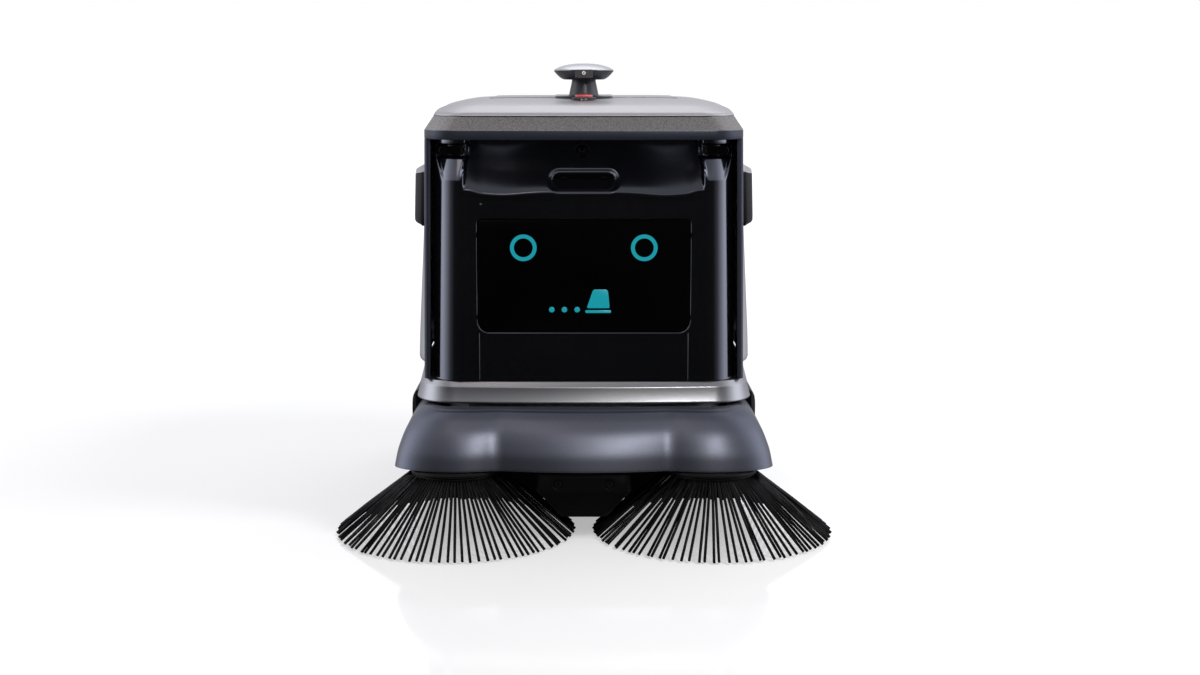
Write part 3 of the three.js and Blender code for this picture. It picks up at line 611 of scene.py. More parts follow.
def hood_path(z, inset, step_in):
    """Outline open at the rear: two lobes with a dip between them, from left to right."""
    lobe_x, corner_y, back = 214.6, 55.0, -108.0
    half_width = float(HOOD_WIDTH(z)) - step_in
    t = (z - HOOD_FOOT) / (HOOD_TOP - HOOD_FOOT)
    depth = lerp(1, 0.7, t)
    nose_y = -303.2 + HOOD_HALF_WIDTH - half_width
    corner_x = half_width - lobe_x

    def front(x):
        across = np.abs(x)
        dip = nose_y + depth * (-4.1 + 0.00073 * np.maximum(0, across - lerp(0, 5, t)) ** 2)
        lobe = nose_y + depth * 0.0026 * (across - lobe_x) ** 2
        blend = np.maximum(8 * depth - np.abs(dip - lobe), 0) / (8 * depth)
        return np.minimum(dip, lobe) - blend * blend * 2 * depth

    half = np.linspace(0.0001, 1, 70)[1:]
    x = np.concatenate([-half[::-1], [0.0], half]) * lobe_x
    turn_y = front(np.array([lobe_x]))[0] + corner_y
    angle = np.arange(24) / 24 * math.pi / 2
    left = np.concatenate([
        column(-half_width + inset, np.linspace(back, turn_y, 14)[:-1]),
        np.stack([-(lobe_x + (corner_x - inset) * np.cos(angle)),
                  turn_y - (corner_y - inset) * np.sin(angle)], 1)])
    return np.concatenate([left, np.stack([x, front(x) + inset], 1), left[::-1] * (-1, 1)])


def hood_shell():
    # (z, inset, step in of the half width), up the outside and down the inside
    rows = [(118.4, 1.6, 0), (117.9, 0.7, 0), (118.1, 0.15, 0)]
    rows += [(z, 0, 0) for z in np.linspace(119.5, 207, 34)]
    rows += [(z, 0, 0) for z in np.linspace(208.5, 212.5, 5)]
    # thin lip above a fine step
    rows += [(213.2, 0, 1.6), (214.2, 0, 1.4), (216.0, 0, 0.6), (217.6, 0, 0.6),
             (218.6, 0.4, 1.2), (219.0, 1.4, 2.0), (219.0, 4.5, 2.0)]
    rows += [(218.0, 6.6, 0), (212, 6.8, 0), (204, 6.8, 0), (190, 6.8, 0), (160, 6.8, 0),
             (135, 6.8, 0), (121, 6.6, 0), (118.6, 5.4, 0)]
    return loft(np.stack([at_height(hood_path(*row), row[0]) for row in rows], 1))


add("hood_shell", hood_shell(), SLATE, "hood", replaces="front_hood",
    angle=50)


# ---------------------------------------------------------------- trim ring
def ring(rows, outline, widen):
    """Closed band through (z, inset) rows of an outline."""
    return loft(np.stack([at_height(spread(outline(inset), widen), z) for z, inset in rows], 1),
                close=True)


def trim_outline(inset):
    return plan(290 - inset, -240 + inset, 427 - inset, 72 - inset, 60 - inset, bow=8,
                corner_steps=22, front_steps=30)


def trim_band():
    rows = [(222.0, 5), (222.1, 3.0), (222.5, 1.4), (223.4, 0.4), (224.6, 0.1)]
    for z in np.linspace(226.5, 249, 12):
        t = (z - 224) / 26
        rows.append((z, 5.8 * (1.33 * t - 0.33 * t * t)))
    rows += [(250.2, 5.9), (250.9, 6.3), (251.6, 6.9), (258.4, 10.3), (259.3, 11.0),
             (259.8, 12.2), (260.0, 14), (260.0, 27), (222.0, 27)]
    return ring(rows, trim_outline, widen=0.052)


add("trim_band", trim_band(), TRIM, replaces="trim_ring", angle=40)


# ---------------------------------------------------------------- side and rear covers
COVER_HEIGHTS = np.concatenate([[260.9, 261.4, 262.4], np.linspace(266, 664, 46),
                                [668.2, 669.6, 670.2]])
# corners (y, z) of the leaning slot in each side, and how each moves as the slot shrinks
VENT = [(55, 338), (88, 338), (193, 594), (160, 594)]
VENT_SHRINK = [(1.25, 1), (-0.75, 1), (-1.25, -1), (0.75, -1)]
VENT_RADIUS = 9


def side_cover(sign):
    """Side wall that turns the rear corner; sign is -1 for left and 1 for right."""
    radius = 62.0
    paths = []
    for z in COVER_HEIGHTS:
        width, back = float(BODY_WIDTH(z)), float(BODY_BACK(z))
        start = split_y(z) + 1.0
        along = np.concatenate([[0, 0.0025, 0.007], np.linspace(0.018, 1, 44)])
        y = start + (back - radius - start) * along
        x = width - float(flare(z)) * (1 - np.clip((y - split_y(z)) / 56, 0, 1)) ** 2
        x[:3] -= (2.2, 0.6, 0.1)        # rolled front edge
        x_rear = np.concatenate([np.linspace(width - radius, 192, 9)[1:], [191.2, 190.7]])
        y_rear = np.full(len(x_rear), back)
        y_rear[-2:] -= (0.3, 1.6)
        path = np.concatenate([np.stack([x, y], 1),
                               arc(width - radius, back - radius, radius, 0, 90, 20)[1:],
                               np.stack([x_rear, y_rear], 1)])
        paths.append(at_height(path * (sign, 1), z))
    outer = np.stack(paths, 1)
    for row, drop in ((0, 1.6), (1, 0.5), (2, 0.1), (-1, 1.6), (-2, 0.5), (-3, 0.1)):
        outer[:, row, 0] -= sign * drop        # soft top and bottom edges
    along = np.gradient(outer[:, :, :2], axis=0)
    normal = np.zeros_like(outer)
    normal[:, :, 0], normal[:, :, 1] = along[:, :, 1], -along[:, :, 0]
    normal /= np.linalg.norm(normal, axis=2, keepdims=True) + 1e-9
    return double_wall(outer, outer - sign * normal * WALL)


def vent_insert(sign):
    """Ribbed tray set in the side slot."""
    def on_wall(points, offset):
        points = np.asarray(points, float)
        return np.column_stack([sign * (BODY_WIDTH(points[:, 1]) + offset), points])

    def outline(shrink):
        corners = np.array(VENT) + shrink * np.array(VENT_SHRINK)
        return round_poly(corners, VENT_RADIUS - shrink)

    # (shrink, offset from the wall), from behind round the rim and down to the floor
    rows = [(0.5, -6), (0.5, -1.2), (1.0, -0.4), (2.2, -0.6), (3.0, -3.5), (3.4, -9)]
    parts = [stack([on_wall(outline(shrink), offset) for shrink, offset in rows],
                   last_cap_first=True)]
    (foot_y, foot_z), (top_y, top_z) = VENT[0], VENT[3]
    for i in range(15):
        z = 352 + i * 16.2
        y = foot_y + (z - foot_z) * (top_y - foot_y) / (top_z - foot_z)
        rib = [(y + 5, z - 2.4), (y + 29.5, z - 2.4), (y + 31.5, z + 2.4), (y + 7, z + 2.4)]
        parts.append(bridge(on_wall(rib, -9.5), on_wall(rib, -3.2)))
    return merge(parts)


def rear_cover():
    """Flat rear wall between the side covers."""
    edge = np.array([188, 188.8, 189.3])
    across = np.concatenate([-edge[::-1], np.linspace(-185, 185, 38), edge])
    outer = np.array([[(x, BODY_BACK(z), z) for z in COVER_HEIGHTS] for x in across])
    for i, drop in ((0, 1.6), (1, 0.4), (-1, 1.6), (-2, 0.4)):
        outer[i, :, 1] -= drop
    for i, drop in ((0, 1.6), (1, 0.4), (-1, 1.6), (-2, 0.4)):
        outer[:, i, 1] -= drop
    return double_wall(outer, outer - (0, WALL, 0))


for side, sign in SIDES:
    opening = prism(round_poly(VENT, VENT_RADIUS), "x", *span(sign, 240, 320))
    add(f"side_cover_{side}", boolean(side_cover(sign), [opening]), PANEL,
        replaces=f"side_panel_{side}", angle=38)
    add(f"vent_insert_{side}", vent_insert(sign), BLACK, replaces=f"side_vent_{side}",
        angle=35, bevel=0.5)

POWER_X, POWER_Z = 120, 600
rear_cuts = [prism(round_rect(-80, 80, z, z + 8, 3.6, 5), "y", 370, 440)
             for z in range(380, 460, 16)]
rear_cuts.append(rod(11.2, 380, 430, 40, x=POWER_X, z=POWER_Z, axis="y"))
add("rear_cover", boolean(rear_cover(), rear_cuts), PANEL, replaces="rear_panel",
    angle=38)
# plate and upright bars inside the rear slots
grille = [box((-84, 84), (402, 404), (376, 456))]
grille += [box((x - 1, x + 1), (404, 408), (378, 454)) for x in range(-77, 78, 14)]
add("rear_grille", merge(grille), BLACK, bevel=0.4)


# ---------------------------------------------------------------- brow ring and side legs
def brow_outline(inset):
    return plan(270.5 - inset, -240 + inset, 396 - inset, 58 - inset * 0.6,
                62 - min(inset, 30), bow=4, corner_steps=20, front_steps=26)


def brow_ring():
    rows = [(671.0, 3.5), (671.05, 1.6), (671.6, 0.5), (673, 0), (679, -0.1), (685, 0),
            (686.6, 0.25), (687.8, 1.0), (689, 1.8), (698, 7.9), (707.4, 14.2), (708.8, 15.3),
            (709.6, 16.6), (709.9, 18.5), (709.9, 33), (671.0, 33)]
    obj = add("brow_ring", ring(rows, brow_outline, widen=0.08), FLAKE,
              replaces="brow_frame", angle=40)
    obj.data.materials.append(LEG)
    for face in obj.data.polygons:
        if face.normal.z < 0.35:
            face.material_index = 1


def brow_leg(sign):
    """Post between fascia and side cover, its rear edge following the leaning joint."""
    front, thick = -205.0, 10.4
    sections = []
    for z in np.concatenate([[260.7, 261.6], np.linspace(266, 671.5, 44)]):
        rear = split_y(z) - 0.8
        x_front = lerp(275, 269.4, (z - CABIN_FOOT) / CABIN_HEIGHT)
        x_rear = float(BODY_WIDTH(z) - flare(z)) - 0.4

        def outside(y):
            return lerp(x_front, x_rear, (y - front) / (rear - front))

        section = [(x_front - thick, front + 2.0), (x_front - 9.6, front + 0.7),
                   (x_front - 8, front), (x_front - 5, front + 0.2),
                   (x_front - 2.2, front + 1.4), (x_front - 0.7, front + 3.6),
                   (outside(front + 7), front + 7)]
        for t in np.linspace(0.04, 1, 26):
            y = lerp(front + 7, rear - 2, t)
            section.append((outside(y), y))
        section += [(x_rear - 0.7, rear - 0.5), (x_rear - 2, rear), (x_rear - thick, rear)]
        for t in (0.25, 0.5, 0.75):
            y = lerp(rear, front + 2, t)
            section.append((outside(y) - thick, y))
        sections.append([(sign * x, y, z) for x, y in section])
    return loft(sections)


brow_ring()
for side, sign in SIDES:
    add(f"brow_leg_{side}", brow_leg(sign), LEG, angle=40)

# ---------------------------------------------------------------- front fascia
SCREEN_Z = 441                    # middle of the display
DEPTH_CAMERA_Z = 601
CAMERA_X, CAMERA_Z = -3, 650      # small camera


def face_y(z):
    """The leaning front face."""
    return lerp(-228, -222, np.minimum(1, (z - CABIN_FOOT) / (SCOOP_Z - CABIN_FOOT)))


def box_distance(x, y, half_x, half_y, radius):
    """Signed distance from a rounded rectangle, negative inside."""
    over_x, over_y = np.abs(x) - half_x + radius, np.abs(y) - half_y + radius
    return (np.minimum(np.maximum(over_x, over_y), 0)
            + np.hypot(np.maximum(over_x, 0), np.maximum(over_y, 0)) - radius)


def relief(x, z):
    """How far the face sits back, in +Y."""
    across = np.abs(x)
    # display seat, with tighter corners in its upper half
    corner = np.where(z > SCREEN_Z, 8.0, 20.0)
    edge = box_distance(x, z - SCREEN_Z, 181.0, 96.5, corner)
    depth = 3.6 * ease(0.5 - edge / 2.4)
    # seam lines from the seat down to the trim
    depth += 0.9 * np.exp(-((across - 175.5) / 1.1) ** 2) * (z < 344)
    # scooped forehead
    brink = SCOOP_Z - 4.5 * np.exp(-((across - 138) / 44) ** 2) + 3 * ease((across - 170) / 25)
    t = np.clip((z - brink) / (CABIN_TOP - SCOOP_Z), 0, 1)
    soft = t * t / (t + 0.045) * 1.045
    scoop = 39 * (1 - (1 - soft) ** 1.9)
    sides = ease((206 - 6 * t - across) / 5.5)
    bowl = 1.0 + 0.10 * np.cos(np.clip(across / 200, 0, 1) * math.pi / 2)
    depth += scoop * sides * bowl * (z > brink - 0.01)
    # rolled ledge just under the scoop
    depth -= 0.5 * np.exp(-((z - brink + 3.2) / 4.5) ** 2) * ease((196 - across) / 14)
    # depth camera slot with a wide bevel
    edge = box_distance(x, z - DEPTH_CAMERA_Z, 57.5, 16, 15.9)
    depth += 2.6 * ease(0.5 - (edge - 1.5) / 7) + 9 * ease(0.5 - (edge + 4.2) / 2.2)
    # countersink of the small camera
    depth += 4.5 * ease((11.5 - np.hypot(x - CAMERA_X, z - CAMERA_Z)) / 6.5)
    # corner scoops that taper downwards
    edge = np.abs(across - 224) - lerp(13.0, 24.5, np.clip((z - 596) / 46, 0, 1))
    rise = ((0.72 * np.clip((z - 602) / 38, 0, 1) ** 1.1 + 0.28 * ease((z - 638) / 6))
            * ease((664.5 - z) / 3.0))
    return depth + 21 * rise * ease(0.5 - edge / 8)


def fascia_path(half_width, front, radius, bow):
    """Wall outline open at the rear, from left to right."""
    end = half_width - radius
    turn_y = front + bow + radius
    y = np.linspace(-128, turn_y, 12)[:-1]
    x = np.linspace(-end, end, 277)[1:-1]
    return np.concatenate([column(-half_width, y),
                           arc(-end, turn_y, radius, 180, 270, 46),
                           np.stack([x, front + bow * (x / end) ** 2], 1),
                           arc(end, turn_y, radius, -90, 0, 46),
                           column(half_width, y[::-1])])


def fascia_cover():
    # heights lie closer together where the relief is steep
    heights = np.concatenate([
        [260.8, 261.3], np.arange(263, 338, 3.0), np.arange(338, 351, 0.9),
        np.arange(352, 530, 4.0), np.arange(530.5, 545, 0.9), np.arange(546, 572, 2.6),
        np.arange(573, 670.2, 1.25), [670.3]])
    outer, inner = [], []
    for z in heights:
        half_width = lerp(261, 256, (z - CABIN_FOOT) / CABIN_HEIGHT)
        front = float(face_y(z))
        outer.append(at_height(fascia_path(half_width, front, 52.0, bow=2.0), z))
        # plain back wall, set behind every recess
        gap = 9 if z < 570 else lerp(9, 50, min(1, (z - 570) / 14))
        inner.append(at_height(fascia_path(half_width - 5, front + gap, 47.0, bow=0.0), z))
    outer, inner = np.stack(outer, 1), np.stack(inner, 1)
    x, y, z = np.moveaxis(outer, 2, 0)
    outer[:, :, 1] = y + relief(x, z) * (y < -150)
    return double_wall(outer, inner)


add("fascia_cover", fascia_cover(), PIANO, replaces="front_fascia",
    angle=60)


def on_face(points, depth):
    return np.column_stack([points[:, 0], face_y(points[:, 1]) + depth, points[:, 1]])


def face_slab(points, front, back, edge):
    """Slab lying along the face; front and back are depths behind it."""
    points = np.asarray(points, float)
    inwards = points.mean(0) - points
    inner = points + inwards / np.linalg.norm(inwards, axis=1, keepdims=True) * edge
    return stack([on_face(points, back), on_face(points, front + edge),
                  on_face(lerp(points, inner, 0.3), front + edge * 0.3),
                  on_face(inner, front)])


def circle(x, z, radius, count):
    angle = np.linspace(0, 2 * math.pi, count, endpoint=False)
    return np.stack([x + radius * np.cos(angle), z + radius * np.sin(angle)], 1)


add("display_glass", face_slab(round_rect(-179.6, 179.6, 346, 536, [19, 19, 7.4, 7.4], 10),
                               1.3, 3.4, edge=0.6),
    SCREEN, replaces="display_panel")

# lit marks on the screen: two rings, three dots, and a hopper shape over a base bar
MARK_FRONT, MARK_BACK = 1.0, 1.28
for side, sign in SIDES:
    outer, inner = (circle(sign * 102.5, 489, radius, 72) for radius in (22.6, 16.0))
    sections = np.stack([on_face(outer, MARK_BACK), on_face(outer, MARK_FRONT),
                         on_face(inner, MARK_FRONT), on_face(inner, MARK_BACK)], 1)
    add(f"screen_ring_{side}", loft(sections, close=True), CYAN, angle=30)
marks = [(f"screen_dot_{i + 1}", circle(x, 383.5, 4.7, 32))
         for i, x in enumerate((-54.5, -33, -11.3))]
marks.append(("screen_glyph_body", round_poly([(5, 386), (44, 386), (41, 418), (16, 418)],
                                              [2, 2, 5, 5], 5)))
marks.append(("screen_glyph_base", round_rect(2.5, 46.5, 377.8, 382.6, 2.2, 5)))
for name, points in marks:
    add(name, face_slab(points, MARK_FRONT, MARK_BACK, edge=0.15), CYAN)

# thin grey strips standing proud along the seams under the display: the seam is real, but their
# grey, lighter than the black face, is a painted highlight of the bright seam line
for side, sign in SIDES:
    x = sign * 178
    add(f"seam_bead_{side}",
        face_slab(rect(x - 0.45, x + 0.45, 262.5, 343), -0.3, 0.6, edge=0.1),
        GREY)
# grey dot for a microphone port on the face: the port is real, but its grey, lighter than the
# black face, is a painted glint
add("microphone_port", face_slab(circle(-174, 563, 1.9, 24), -0.2, 0.6, edge=0.3), GREY)


# ---------------------------------------------------------------- cameras and corner windows
def obround(x, z, half_x, half_z):
    return round_rect(x - half_x, x + half_x, z - half_z, z + half_z, half_z * 0.98, 14)


add("depth_camera_glass", prism(obround(0, DEPTH_CAMERA_Z, 54, 12.6), "y", -195.8, -190),
    WINDOW, bevel=0.6, replaces="depth_camera")
DEPTH_LENS = [(0, -196.3), (5.6, -196.25), (6.6, -196.0), (6.6, -194), (0, -194)]
for i, x in enumerate((-34, 34)):
    add(f"depth_lens_{i + 1}", lathe(DEPTH_LENS, 40, x=x, z=DEPTH_CAMERA_Z, axis="y"), LENS)
add("small_camera_barrel",
    lathe([(0, -190.2), (4.4, -190.4), (5.2, -191.6), (7.6, -191.0), (8.4, -189),
           (8.4, -180), (0, -180)], 48, x=CAMERA_X, z=CAMERA_Z, axis="y"),
    WINDOW, replaces="front_camera")
add("small_camera_lens",
    lathe([(0, -192.4), (2.2, -192.1), (3.6, -191.0), (3.6, -189.6), (0, -189.6)], 40,
          x=CAMERA_X, z=CAMERA_Z, axis="y"),
    LENS)
for side, sign in SIDES:
    add(f"corner_window_{side}",
        prism(obround(sign * 226, 652.4, 19.5, 7.4), "y", -203.4, -190), WINDOW,
        bevel=1.0, replaces=f"corner_sensor_{side}")

# ---------------------------------------------------------------- top cover and hatch
# distance in from the rim, then height
CROWN = smooth_curve([0, 1.0, 3, 15, 31, 51, 72, 104, 150, 215],
                     [710.6, 713.0, 715.4, 721.5, 728, 732.7, 735.6, 737.2, 738, 738.3])


def crown_ring(inset, z):
    radius = 56 - inset * 0.22
    outline = plan(255 - inset, -225 + inset, 381 - inset, radius, radius,
                   bow=4 * (1 - inset / 255), corner_steps=14, front_steps=24, side_steps=24)
    return at_height(spread(outline, 0.08), z)


def crown(lift=0.0, underside=True):
    """Domed top; without the underside it is closed by a flat face at the rim."""
    insets = np.concatenate([[0, 0.4, 1.0, 2.0, 3.2], np.linspace(5, 104, 40),
                             np.linspace(110, 214, 14)])
    loops = [crown_ring(inset, float(CROWN(inset)) + lift) for inset in insets]
    if underside:
        below = [crown_ring(inset, min(float(CROWN(inset - 4)) - 5, 731))
                 for inset in (214, 120, 60, 20, 9)]
        loops = below + [crown_ring(6, 710.6)] + loops
    return stack(loops)


def hatch_outline(gap):
    """Rounded at the rear, with a curved bay round the turret at the front."""
    side, front, rear, radius = 168 - gap, -44 + gap, 318 - gap, 14
    return np.concatenate([[(-side, front)],
                           arc(0, TURRET_Y, 57 + gap, 152, 28, 32),
                           [(side, front)],
                           arc(side - radius, rear - radius, radius, 0, 90, 8),
                           arc(-side + radius, rear - radius, radius, 90, 180, 8)])


crown_cuts = [prism(hatch_outline(0), "z", 700, 760),
              box((-60, 60), (314, 344), (729, 760)),
              rod(7.2, 700, 760, 32, y=ESTOP_Y)]
add("crown_cover", boolean(crown(), crown_cuts), LIGHT, replaces="top_cover",
    angle=38)
# the hatch stands slightly proud of the crown
hatch = boolean(crown(lift=1.4, underside=False),
                [prism(hatch_outline(1.2), "z", 732.2, 760)], "INTERSECT")
add("hatch_panel", hatch, HATCH, "hatch", replaces="top_hatch", angle=38,
    bevel=0.9, segments=3)
add("hatch_hinge_barrel",
    lathe([(0, -56), (3.2, -56), (3.6, -55.4), (3.6, -20), (3.3, -19.6), (3.3, -19),
           (3.6, -18.6), (3.6, 18.6), (3.3, 19), (3.3, 19.6), (3.6, 20), (3.6, 55.4),
           (3.2, 56), (0, 56)], 24, y=332, z=736, axis="x"),
    STEEL, "hatch")
add("hatch_hinge_leaf", box((-52, 52), (310, 331), (733.8, 738.0)), STEEL, "hatch",
    bevel=0.8)
add("hatch_pull", box((-26, 26), (285, 296), (739.2, 741.2)), GREY, "hatch", bevel=0.9,
    segments=3)

# ---------------------------------------------------------------- turret and emergency stop
add("turret_base",
    lathe([(0, 738.8), (50.4, 738.8), (51, 739.2), (51, 740.6), (50.2, 741.3), (46, 741.8),
           (29, 742.2), (26.6, 743), (25.6, 745), (24.6, 750), (21.4, 765), (20.8, 769),
           (21.6, 770), (28, 770), (34, 770.2), (37.6, 771.2), (42, 774), (46.5, 778),
           (50.6, 782.6), (52.3, 784.8), (52.5, 785.4), (51.8, 786.2), (50.6, 786),
           (46, 781.5), (40, 777), (33, 774.4), (0, 774.4)], 96, y=TURRET_Y),
    SATIN, replaces="turret_pedestal", angle=40)
add("turret_dome",
    lathe([(0, 798), (9, 797.9), (18, 797.3), (27, 796.2), (36, 794.2), (43, 791.8),
           (48.4, 789.2), (51.2, 787.6), (51.9, 786.95), (51, 786.6), (47.6, 787),
           (34, 791), (0, 794)], 96, y=TURRET_Y),
    DOME, replaces="turret_cap", angle=50)
add("turret_camera_box",
    box((-15.3, 15.3), (TURRET_Y - 53.5, TURRET_Y - 31), (773.0, 787.4)), GREY, bevel=1.0,
    segments=3, replaces="turret_camera")
TURRET_LENS = {"y": TURRET_Y, "z": 781.6, "axis": "y"}
add("turret_lens_ring",
    lathe([(1.5, -54.6), (2.9, -54.6), (3.2, -54.2), (3.2, -53), (1.5, -53)], 40,
          **TURRET_LENS), WHITE)
add("turret_lens",
    lathe([(0, -54.2), (1.0, -54.0), (1.4, -53.6), (1.4, -53), (0, -53)], 32,
          **TURRET_LENS), CHROME)
add("scanner_drum",
    lathe([(0, 774.6), (11, 774.6), (12, 775.4), (12, 776.6), (23, 776.8), (24, 777.8),
           (24, 779), (22.6, 779.6), (22.6, 784), (24, 784.6), (24, 786), (23, 786.9),
           (0, 786.9)], 48, y=TURRET_Y),
    BLACK, "scanner", replaces="lidar_rotor")
add("estop_bezel",
    lathe([(16.6, 738.3), (20.4, 738.3), (21, 738.8), (21, 739.6), (20, 740.3),
           (17.2, 740.4), (16.6, 740)], y=ESTOP_Y),
    GREY, replaces="estop_collar")
add("estop_shaft",
    lathe([(0, 712), (5.4, 712), (6, 712.6), (6, 739.6), (5.4, 740.2), (0, 740.2)], 32,
          y=ESTOP_Y),
    STEEL, "estop_plunger", replaces="estop_stem")
add("estop_button",
    lathe([(0, 740.7), (9, 740.7), (10.6, 741.2), (10.6, 744.4), (9.8, 745.0), (5, 745.35),
           (0, 745.4)], y=ESTOP_Y),
    RED, "estop_knob", replaces="estop_head")
add("estop_rim",
    lathe([(10.8, 740.7), (14.6, 740.7), (15.6, 741.4), (15.6, 743.2), (14.6, 744.2),
           (12.2, 744.7), (10.8, 744.3)], y=ESTOP_Y),
    PINK, "estop_knob")


# ---------------------------------------------------------------- side pods
def side_pod(side, sign):
    """Tapered pod on the flank, black with silver on its top and rear faces."""
    base = round_poly([(66, 500), (104, 497), (136, 604), (112, 613), (96, 600)],
                      [5, 5, 7, 7, 7], 5)
    outer = round_poly([(76, 511), (101, 504), (130, 594), (118, 604), (103, 597)],
                       [4, 4, 5, 5, 5], 5)
    rows = [(base, 297.6), (base, 301.4), (lerp(base, outer, 0.25), 305),
            (lerp(base, outer, 0.75), 313.2), (outer, 315.6),
            (lerp(outer, outer.mean(0), 0.1), 316)]
    shape = stack([np.insert(points, 0, sign * x, axis=1) for points, x in rows])
    mesh = add(f"side_pod_shell_{side}", shape, POD, replaces=f"side_pod_{side}",
               angle=34, bevel=0.5).data
    mesh.materials.append(PANEL)
    for face in mesh.polygons:
        if face.normal.z > 0.35 or face.normal.y > 0.2:
            face.material_index = 1


for side, sign in SIDES:
    side_pod(side, sign)


# ---------------------------------------------------------------- lower skirt
def skirt_path(half_width, back):
    """Outline open at the front, from left to right."""
    radius = 60
    end, turn_y = half_width - radius, back - radius
    y = np.linspace(-96, turn_y, 20)[:-1]
    x = np.linspace(-end, end, 30)[1:-1]
    return np.concatenate([column(-half_width, y),
                           arc(-end, turn_y, radius, 180, 90, 18),
                           np.stack([x, np.full(len(x), back)], 1),
                           arc(end, turn_y, radius, 90, 0, 18),
                           column(half_width, y[::-1])])


# (z, half width, back), up the outside and down the inside
SKIRT_ROWS = [
    (48.5, 301.5, 438.5), (46.4, 302.8, 439.8), (46.2, 304, 441), (50, 306.4, 443.4),
    (58, 307.8, 444.8), (64, 308, 445), (130, 308, 445), (190, 308, 445),
    (202, 307.6, 444.6), (210, 306.2, 443.2), (216, 303.6, 440.6), (218.6, 301.6, 438.6),
    (219.4, 300.4, 437.4), (219.4, 297.4, 434.4), (214, 301, 438), (120, 302, 439),
    (60, 301.8, 438.8)]
skirt = loft(np.stack([at_height(skirt_path(width, back), z)
                       for z, width, back in SKIRT_ROWS], 1))
skirt_cuts = [prism(round_rect(-147, 147, 30, 207, 4, 4), "y", 400, 470)]
skirt_cuts += [prism(round_rect(-60, 365, 119, 133, 6.8, 8), "x", *span(sign, 305, 330))
               for side, sign in SIDES]
add("skirt_shell", boolean(skirt, skirt_cuts), SHELL, replaces="side_skirt",
    angle=38)
for side, sign in SIDES:
    add(f"flank_strip_{side}",
        prism(round_rect(-58.6, 363.6, 120.4, 131.6, 5.5, 8), "x", *span(sign, 305.2, 307.2)),
        RUBBER, bevel=0.6)

# ---------------------------------------------------------------- dust bin, at the rear
bin_face = boolean(prism(round_rect(-145, 145, 48, 205, 4, 5), "y", 431, 444.4),
                   [prism(round_rect(-70, 70, 150, 178, 8), "y", 436, 460)])
add("bin_front", bin_face, SHELL, "bin", angle=35, bevel=1.0, segments=3)
grip = round_poly([(438.2, 171), (444.6, 169.6), (444.6, 178.6), (438.2, 178.6)], 1.6, 4)
add("bin_grip", prism(grip, "x", -62, 62), GREY, "bin", bevel=0.5)
tray = boolean(box((-132, 132), (106, 431), (56, 196)),
               [box((-128, 128), (110, 428), (60, 220)),
                box((-128, 128), (90, 112), (112, 220))])
add("bin_tray", tray, BLACK, "bin", replaces="dust_bin", angle=35,
    bevel=1.0)
for side, sign in SIDES:
    add(f"bin_lip_{side}", box(span(sign, 132.2, 144), (106, 430.6), (189.8, 196)), BLACK,
        "bin", bevel=0.8)
# pleated filter lying over the tray
fold_y = np.linspace(238, 425, 75)
fold_z = np.where(np.arange(75) % 2 == 0, 205.2, 200.6)
pleats = np.concatenate([np.stack([fold_y, fold_z], 1), [(425, 197.2), (238, 197.2)]])
add("filter_pleats", prism(pleats, "x", -122, 122), PLEAT, "bin", replaces="dust_filter",
    angle=60)
FILTER_Z = (197, 205.6)
add("filter_frame",
    merge([box((-127, -122.4), (236, 427), FILTER_Z), box((122.4, 127), (236, 427), FILTER_Z),
           box((-122, 122), (425.4, 427), FILTER_Z),
           box((-122, 122), (236, 237.6), FILTER_Z)]),
    BLACK, "bin", bevel=0.5)

# ---------------------------------------------------------------- side brooms
BROOM_X, BROOM_Y = 220.0, -240.0
TUFTS = 50
# (root radius, root height, tip radius) of the two rows of tufts
TUFT_ROWS = ((75.0, 105.5, 204.2), (70.0, 108.6, 202.0))


def tuft(root, tip, sag, spin):
    """Fluted round strand, bent by its sag and twisted along its length."""
    root, tip = np.array(root, float), np.array(tip, float)
    along = tip - root
    along /= np.linalg.norm(along)
    across = np.cross(along, [0, 0, 1.0])
    across /= np.linalg.norm(across)
    up = np.cross(across, along)
    sides, steps = 9, 7
    rings = []
    for j in range(steps + 1):
        t = j / steps
        centre = lerp(root, tip, t) + up * sag * math.sin(math.pi * t)
        angle = np.linspace(0, 2 * math.pi, sides, endpoint=False) + spin + t * 2.2
        radius = lerp(2.45, 2.4, t) * (1 + 0.07 * np.cos(3 * (angle - t * 2.2)))
        rings.append(centre + np.outer(radius * np.cos(angle), across)
                     + np.outer(radius * np.sin(angle), up))
    return loft(rings)


def broom_tufts(x):
    parts = []
    for i in range(TUFTS):
        for row, (root_radius, root_z, tip_radius) in enumerate(TUFT_ROWS):
            angle = (i + row * 0.5) * 2 * math.pi / TUFTS + (random.random() - 0.5) * 0.022
            tip_radius += (random.random() - 0.5) * 2.0
            tip_z = 3.2 + random.random() * 1.2
            tip_angle = angle + (random.random() - 0.5) * 0.035
            parts.append(tuft(
                (x + root_radius * math.cos(angle), BROOM_Y + root_radius * math.sin(angle),
                 root_z),
                (x + tip_radius * math.cos(tip_angle),
                 BROOM_Y + tip_radius * math.sin(tip_angle), tip_z),
                sag=(random.random() - 0.35) * 2.2, spin=random.random() * 6))
    return merge(parts)


